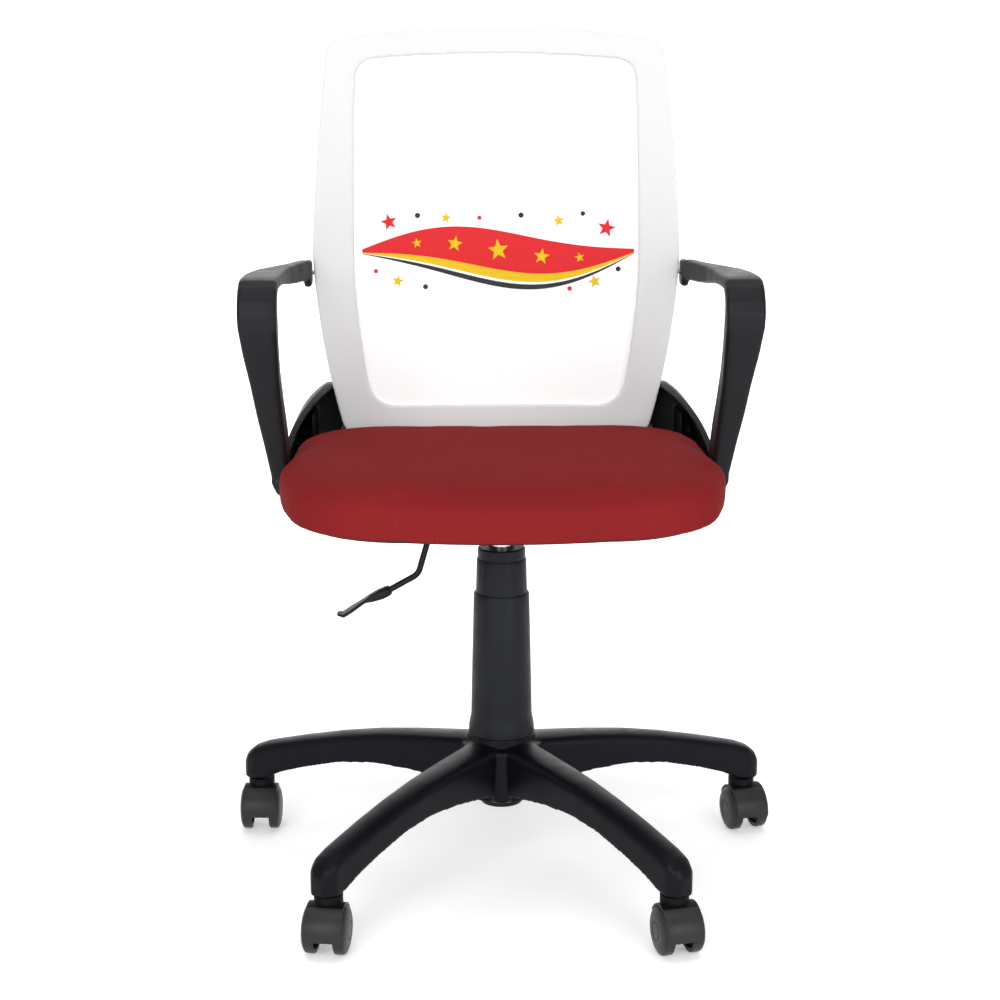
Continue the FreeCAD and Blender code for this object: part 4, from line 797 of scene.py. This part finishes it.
def net_print():
    """A cheerful ribbon with stars, printed across the net."""
    ribbon("print_band_dark", 0.14, 1.75, 1, "dark")
    ribbon("print_band_yellow", 0.30, 1.18, 1, "yellow")
    ribbon("print_band_red", 1.0, 0.0, 2, "red")
    on_band = ((0.20, 0.0062, 8), (0.34, 0.0098, -10), (0.50, 0.0130, 6), (0.66, 0.0098, -8),
               (0.80, 0.0062, 12))
    for number, (share, point_r, turn_deg) in enumerate(on_band):
        x, low, high = ribbon_edges(share, 1.0, 0.0)
        star("print_star_" + str(number), x, (low + high) / 2, point_r, turn_deg, 3, "yellow")
    loose = ((-0.128, 0.7035, 0.0105, 14, "red"), (-0.060, 0.7080, 0.0070, -8, "yellow"),
             (0.075, 0.7045, 0.0075, 10, "yellow"), (0.132, 0.6960, 0.0115, -12, "red"),
             (-0.118, 0.6340, 0.0075, -10, "yellow"), (0.118, 0.6330, 0.0085, 16, "yellow"))
    for number, (x, z, point_r, turn_deg, ink) in enumerate(loose):
        star("print_loose_" + str(number), x, z, point_r, turn_deg, 1, ink)
    spots = ((-0.094, 0.7110, 0.0032, "dark"), (-0.020, 0.7080, 0.0026, "red"),
             (0.030, 0.7110, 0.0032, "dark"), (0.104, 0.7130, 0.0028, "dark"),
             (-0.144, 0.6460, 0.0026, "red"), (-0.085, 0.6270, 0.0030, "dark"),
             (0.088, 0.6245, 0.0028, "red"), (0.146, 0.6480, 0.0030, "dark"))
    for number, (x, z, radius, ink) in enumerate(spots):
        dot("print_spot_" + str(number), x, z, radius, 1, ink)


def lift_grip(grip):
    """The grip's outer part bent a little up from the rod's line."""
    reach = grip_bend_x - min(vertex.co.x for vertex in grip.data.vertices)
    for vertex in grip.data.vertices:
        out = max(0.0, grip_bend_x - vertex.co.x)
        vertex.co.z += grip_lift * (out / reach) ** grip_lift_power


def dark_neck(hood):
    """The hood's neck under the leg is painted blacker, as shade from the leg above it."""
    hood.data.materials.append(neck_painted_shade)
    for polygon in hood.data.polygons:
        if polygon.center.z > neck_shade_low_z:
            polygon.material_index = 1


def turned_wheel(side, index):
    """One caster wheel: tread, domed cap with a shallow ring, and a hollow inner side."""
    node_name = "wheel_" + side + "_" + str(index)
    joint = [j for j in frame["joints"] if j["child"] == node_name][0]
    axis = Vector(joint["axis"])
    centre = Vector(joint["pos_m"])
    outward = axis * (1 if side == "right" else -1)
    up = Vector((0, 0, 1))
    across = outward.cross(up)
    inner = wheel_gap / 2
    shoulder = inner + wheel_tread_w
    outer = inner + wheel_w
    hollow_r = wheel_r - wheel_rim_t
    profile = [(wheel_bore_r, inner), (wheel_hub_r, inner), (wheel_hub_r, outer - wheel_hub_depth),
               (hollow_r, shoulder - wheel_web_t), (hollow_r, inner + wheel_edge_r),
               (hollow_r + wheel_edge_r, inner), (wheel_r - wheel_edge_r, inner),
               (wheel_r, inner + wheel_edge_r), (wheel_r, shoulder)]
    dome_steps = 10
    for step in range(1, dome_steps + 1):
        angle = math.radians(90.0) * step / dome_steps
        profile.append((wheel_face_r + (wheel_r - wheel_face_r) * math.cos(angle),
                        shoulder + (outer - shoulder) * math.sin(angle)))
    profile += [(ring_r, outer), (ring_r, outer - ring_depth), (ring_r - ring_w, outer - ring_depth),
                (ring_r - ring_w, outer), (0.0, outer)]
    points = []
    for radius, depth in profile:
        for step in range(wheel_segments):
            angle = 2 * math.pi * step / wheel_segments
            spoke = up * math.cos(angle) + across * math.sin(angle)
            points.append(centre + outward * depth + spoke * radius)
    faces = []
    for row in range(len(profile) - 1):
        start = row * wheel_segments
        for step in range(wheel_segments):
            after = (step + 1) % wheel_segments
            faces.append((start + step, start + after, start + wheel_segments + after,
                          start + wheel_segments + step))
    wheel = made("wheel_disc_" + side + "_" + str(index), points, faces, materials["caster_nylon"])
    shape = bmesh.new()
    shape.from_mesh(wheel.data)
    bmesh.ops.remove_doubles(shape, verts=shape.verts, dist=weld_reach / 2)
    bmesh.ops.recalc_face_normals(shape, faces=shape.faces)
    sharp = math.radians(wheel_crease_deg)
    for edge in shape.edges:
        edge.smooth = len(edge.link_faces) == 2 and edge.calc_face_angle(0.0) < sharp
    shape.to_mesh(wheel.data)
    shape.free()
    return stand_for(wheel, node_name)


def studio():
    """Pale floor that curves up into a backdrop, big soft lamps and a bright, even surround."""
    profile = [(floor_front_y, 0.0), (backdrop_y - sweep_r, 0.0)]
    steps = 16
    for step in range(1, steps + 1):
        angle = math.radians(90.0) * step / steps
        y = backdrop_y - sweep_r + sweep_r * math.sin(angle)
        profile.append((y, sweep_r - sweep_r * math.cos(angle)))
    profile.append((backdrop_y, backdrop_top_z))
    points = [Vector((x, y, z)) for y, z in profile for x in (-floor_half, floor_half)]
    faces = [(2 * row, 2 * row + 1, 2 * row + 3, 2 * row + 2) for row in range(len(profile) - 1)]
    material, tree, shader = new_material("floor_paper")
    tone = blended(tree, noise_field(tree, 0.4, 3.0), (0.96, 0.96, 0.96, 1), (0.98, 0.98, 0.98, 1))
    tree.links.new(tone, shader.inputs["Base Color"])
    shader.inputs["Roughness"].default_value = 0.8
    shader.inputs["Specular IOR Level"].default_value = 0.1
    shader.inputs["Emission Color"].default_value = plain
    shader.inputs["Emission Strength"].default_value = floor_glow
    made("floor", points, faces, material)
    world = bpy.data.worlds.new("surround")
    world.use_nodes = True
    background = world.node_tree.nodes["Background"]
    background.inputs["Color"].default_value = plain
    background.inputs["Strength"].default_value = surround_glow
    scene.world = world
    for name, place, aim, size, power, spread_deg in lamps:
        light = bpy.data.lights.new(name, "AREA")
        light.shape = "DISK"
        light.size = size
        light.energy = power
        light.spread = math.radians(spread_deg)
        lamp = bpy.data.objects.new(name, light)
        lamp.location = place
        lamp.rotation_euler = (Vector(aim) - Vector(place)).to_track_quat("-Z", "Y").to_euler()
        scene.collection.objects.link(lamp)


def camera():
    """The photograph's view: a long lens, a little above the seat and looking slightly down."""
    data = bpy.data.cameras.new("camera")
    data.sensor_width = 36.0
    data.sensor_fit = "HORIZONTAL"
    data.lens = focal_px / frame_px * data.sensor_width
    data.shift_x, data.shift_y = camera_shift
    view = bpy.data.objects.new("camera", data)
    turn = math.radians(camera_turn_deg)
    pitch = math.radians(camera_pitch_deg)
    ahead = Vector((math.sin(turn), math.cos(turn), 0.0))
    view.location = Vector((0.0, 0.0, camera_height)) - ahead * camera_distance
    heading = ahead * math.cos(pitch) - Vector((0.0, 0.0, math.sin(pitch)))
    view.rotation_euler = heading.to_track_quat("-Z", "Y").to_euler()
    scene.collection.objects.link(view)
    scene.camera = view


camera()
studio()
scene.view_settings.view_transform = "Standard"
seat_cushion()
soft_moulding("back_frame_moulding", "back_frame", frame_voxel, 6, 1.5)
net_panel()
net_print()
for side in ("left", "right"):
    soft_moulding("armrest_moulding_" + side, "armrest_" + side, arm_voxel, 14, 8.0)
    soft_moulding("back_bracket_moulding_" + side, "back_bracket_" + side, arm_voxel, 4)
    for number in range(1, 6):
        turned_wheel(side, number)
lift_grip(soft_moulding("lever_grip_moulding", "lever_handle", grip_voxel, 8))
soft_moulding("star_base_moulding", "star_base", base_voxel, 12, 5.0, True)
for number in range(1, 6):
    node_name = "caster_hood_" + str(number)
    # the hood's neck gets painted shade under the leg
    dark_neck(crisp_moulding("caster_hood_moulding_" + str(number), node_name, hood_edge_r))
for cover in ("lower_cover", "middle_cover", "upper_cover"):
    crisp_moulding(cover + "_moulding", cover, 0.0)
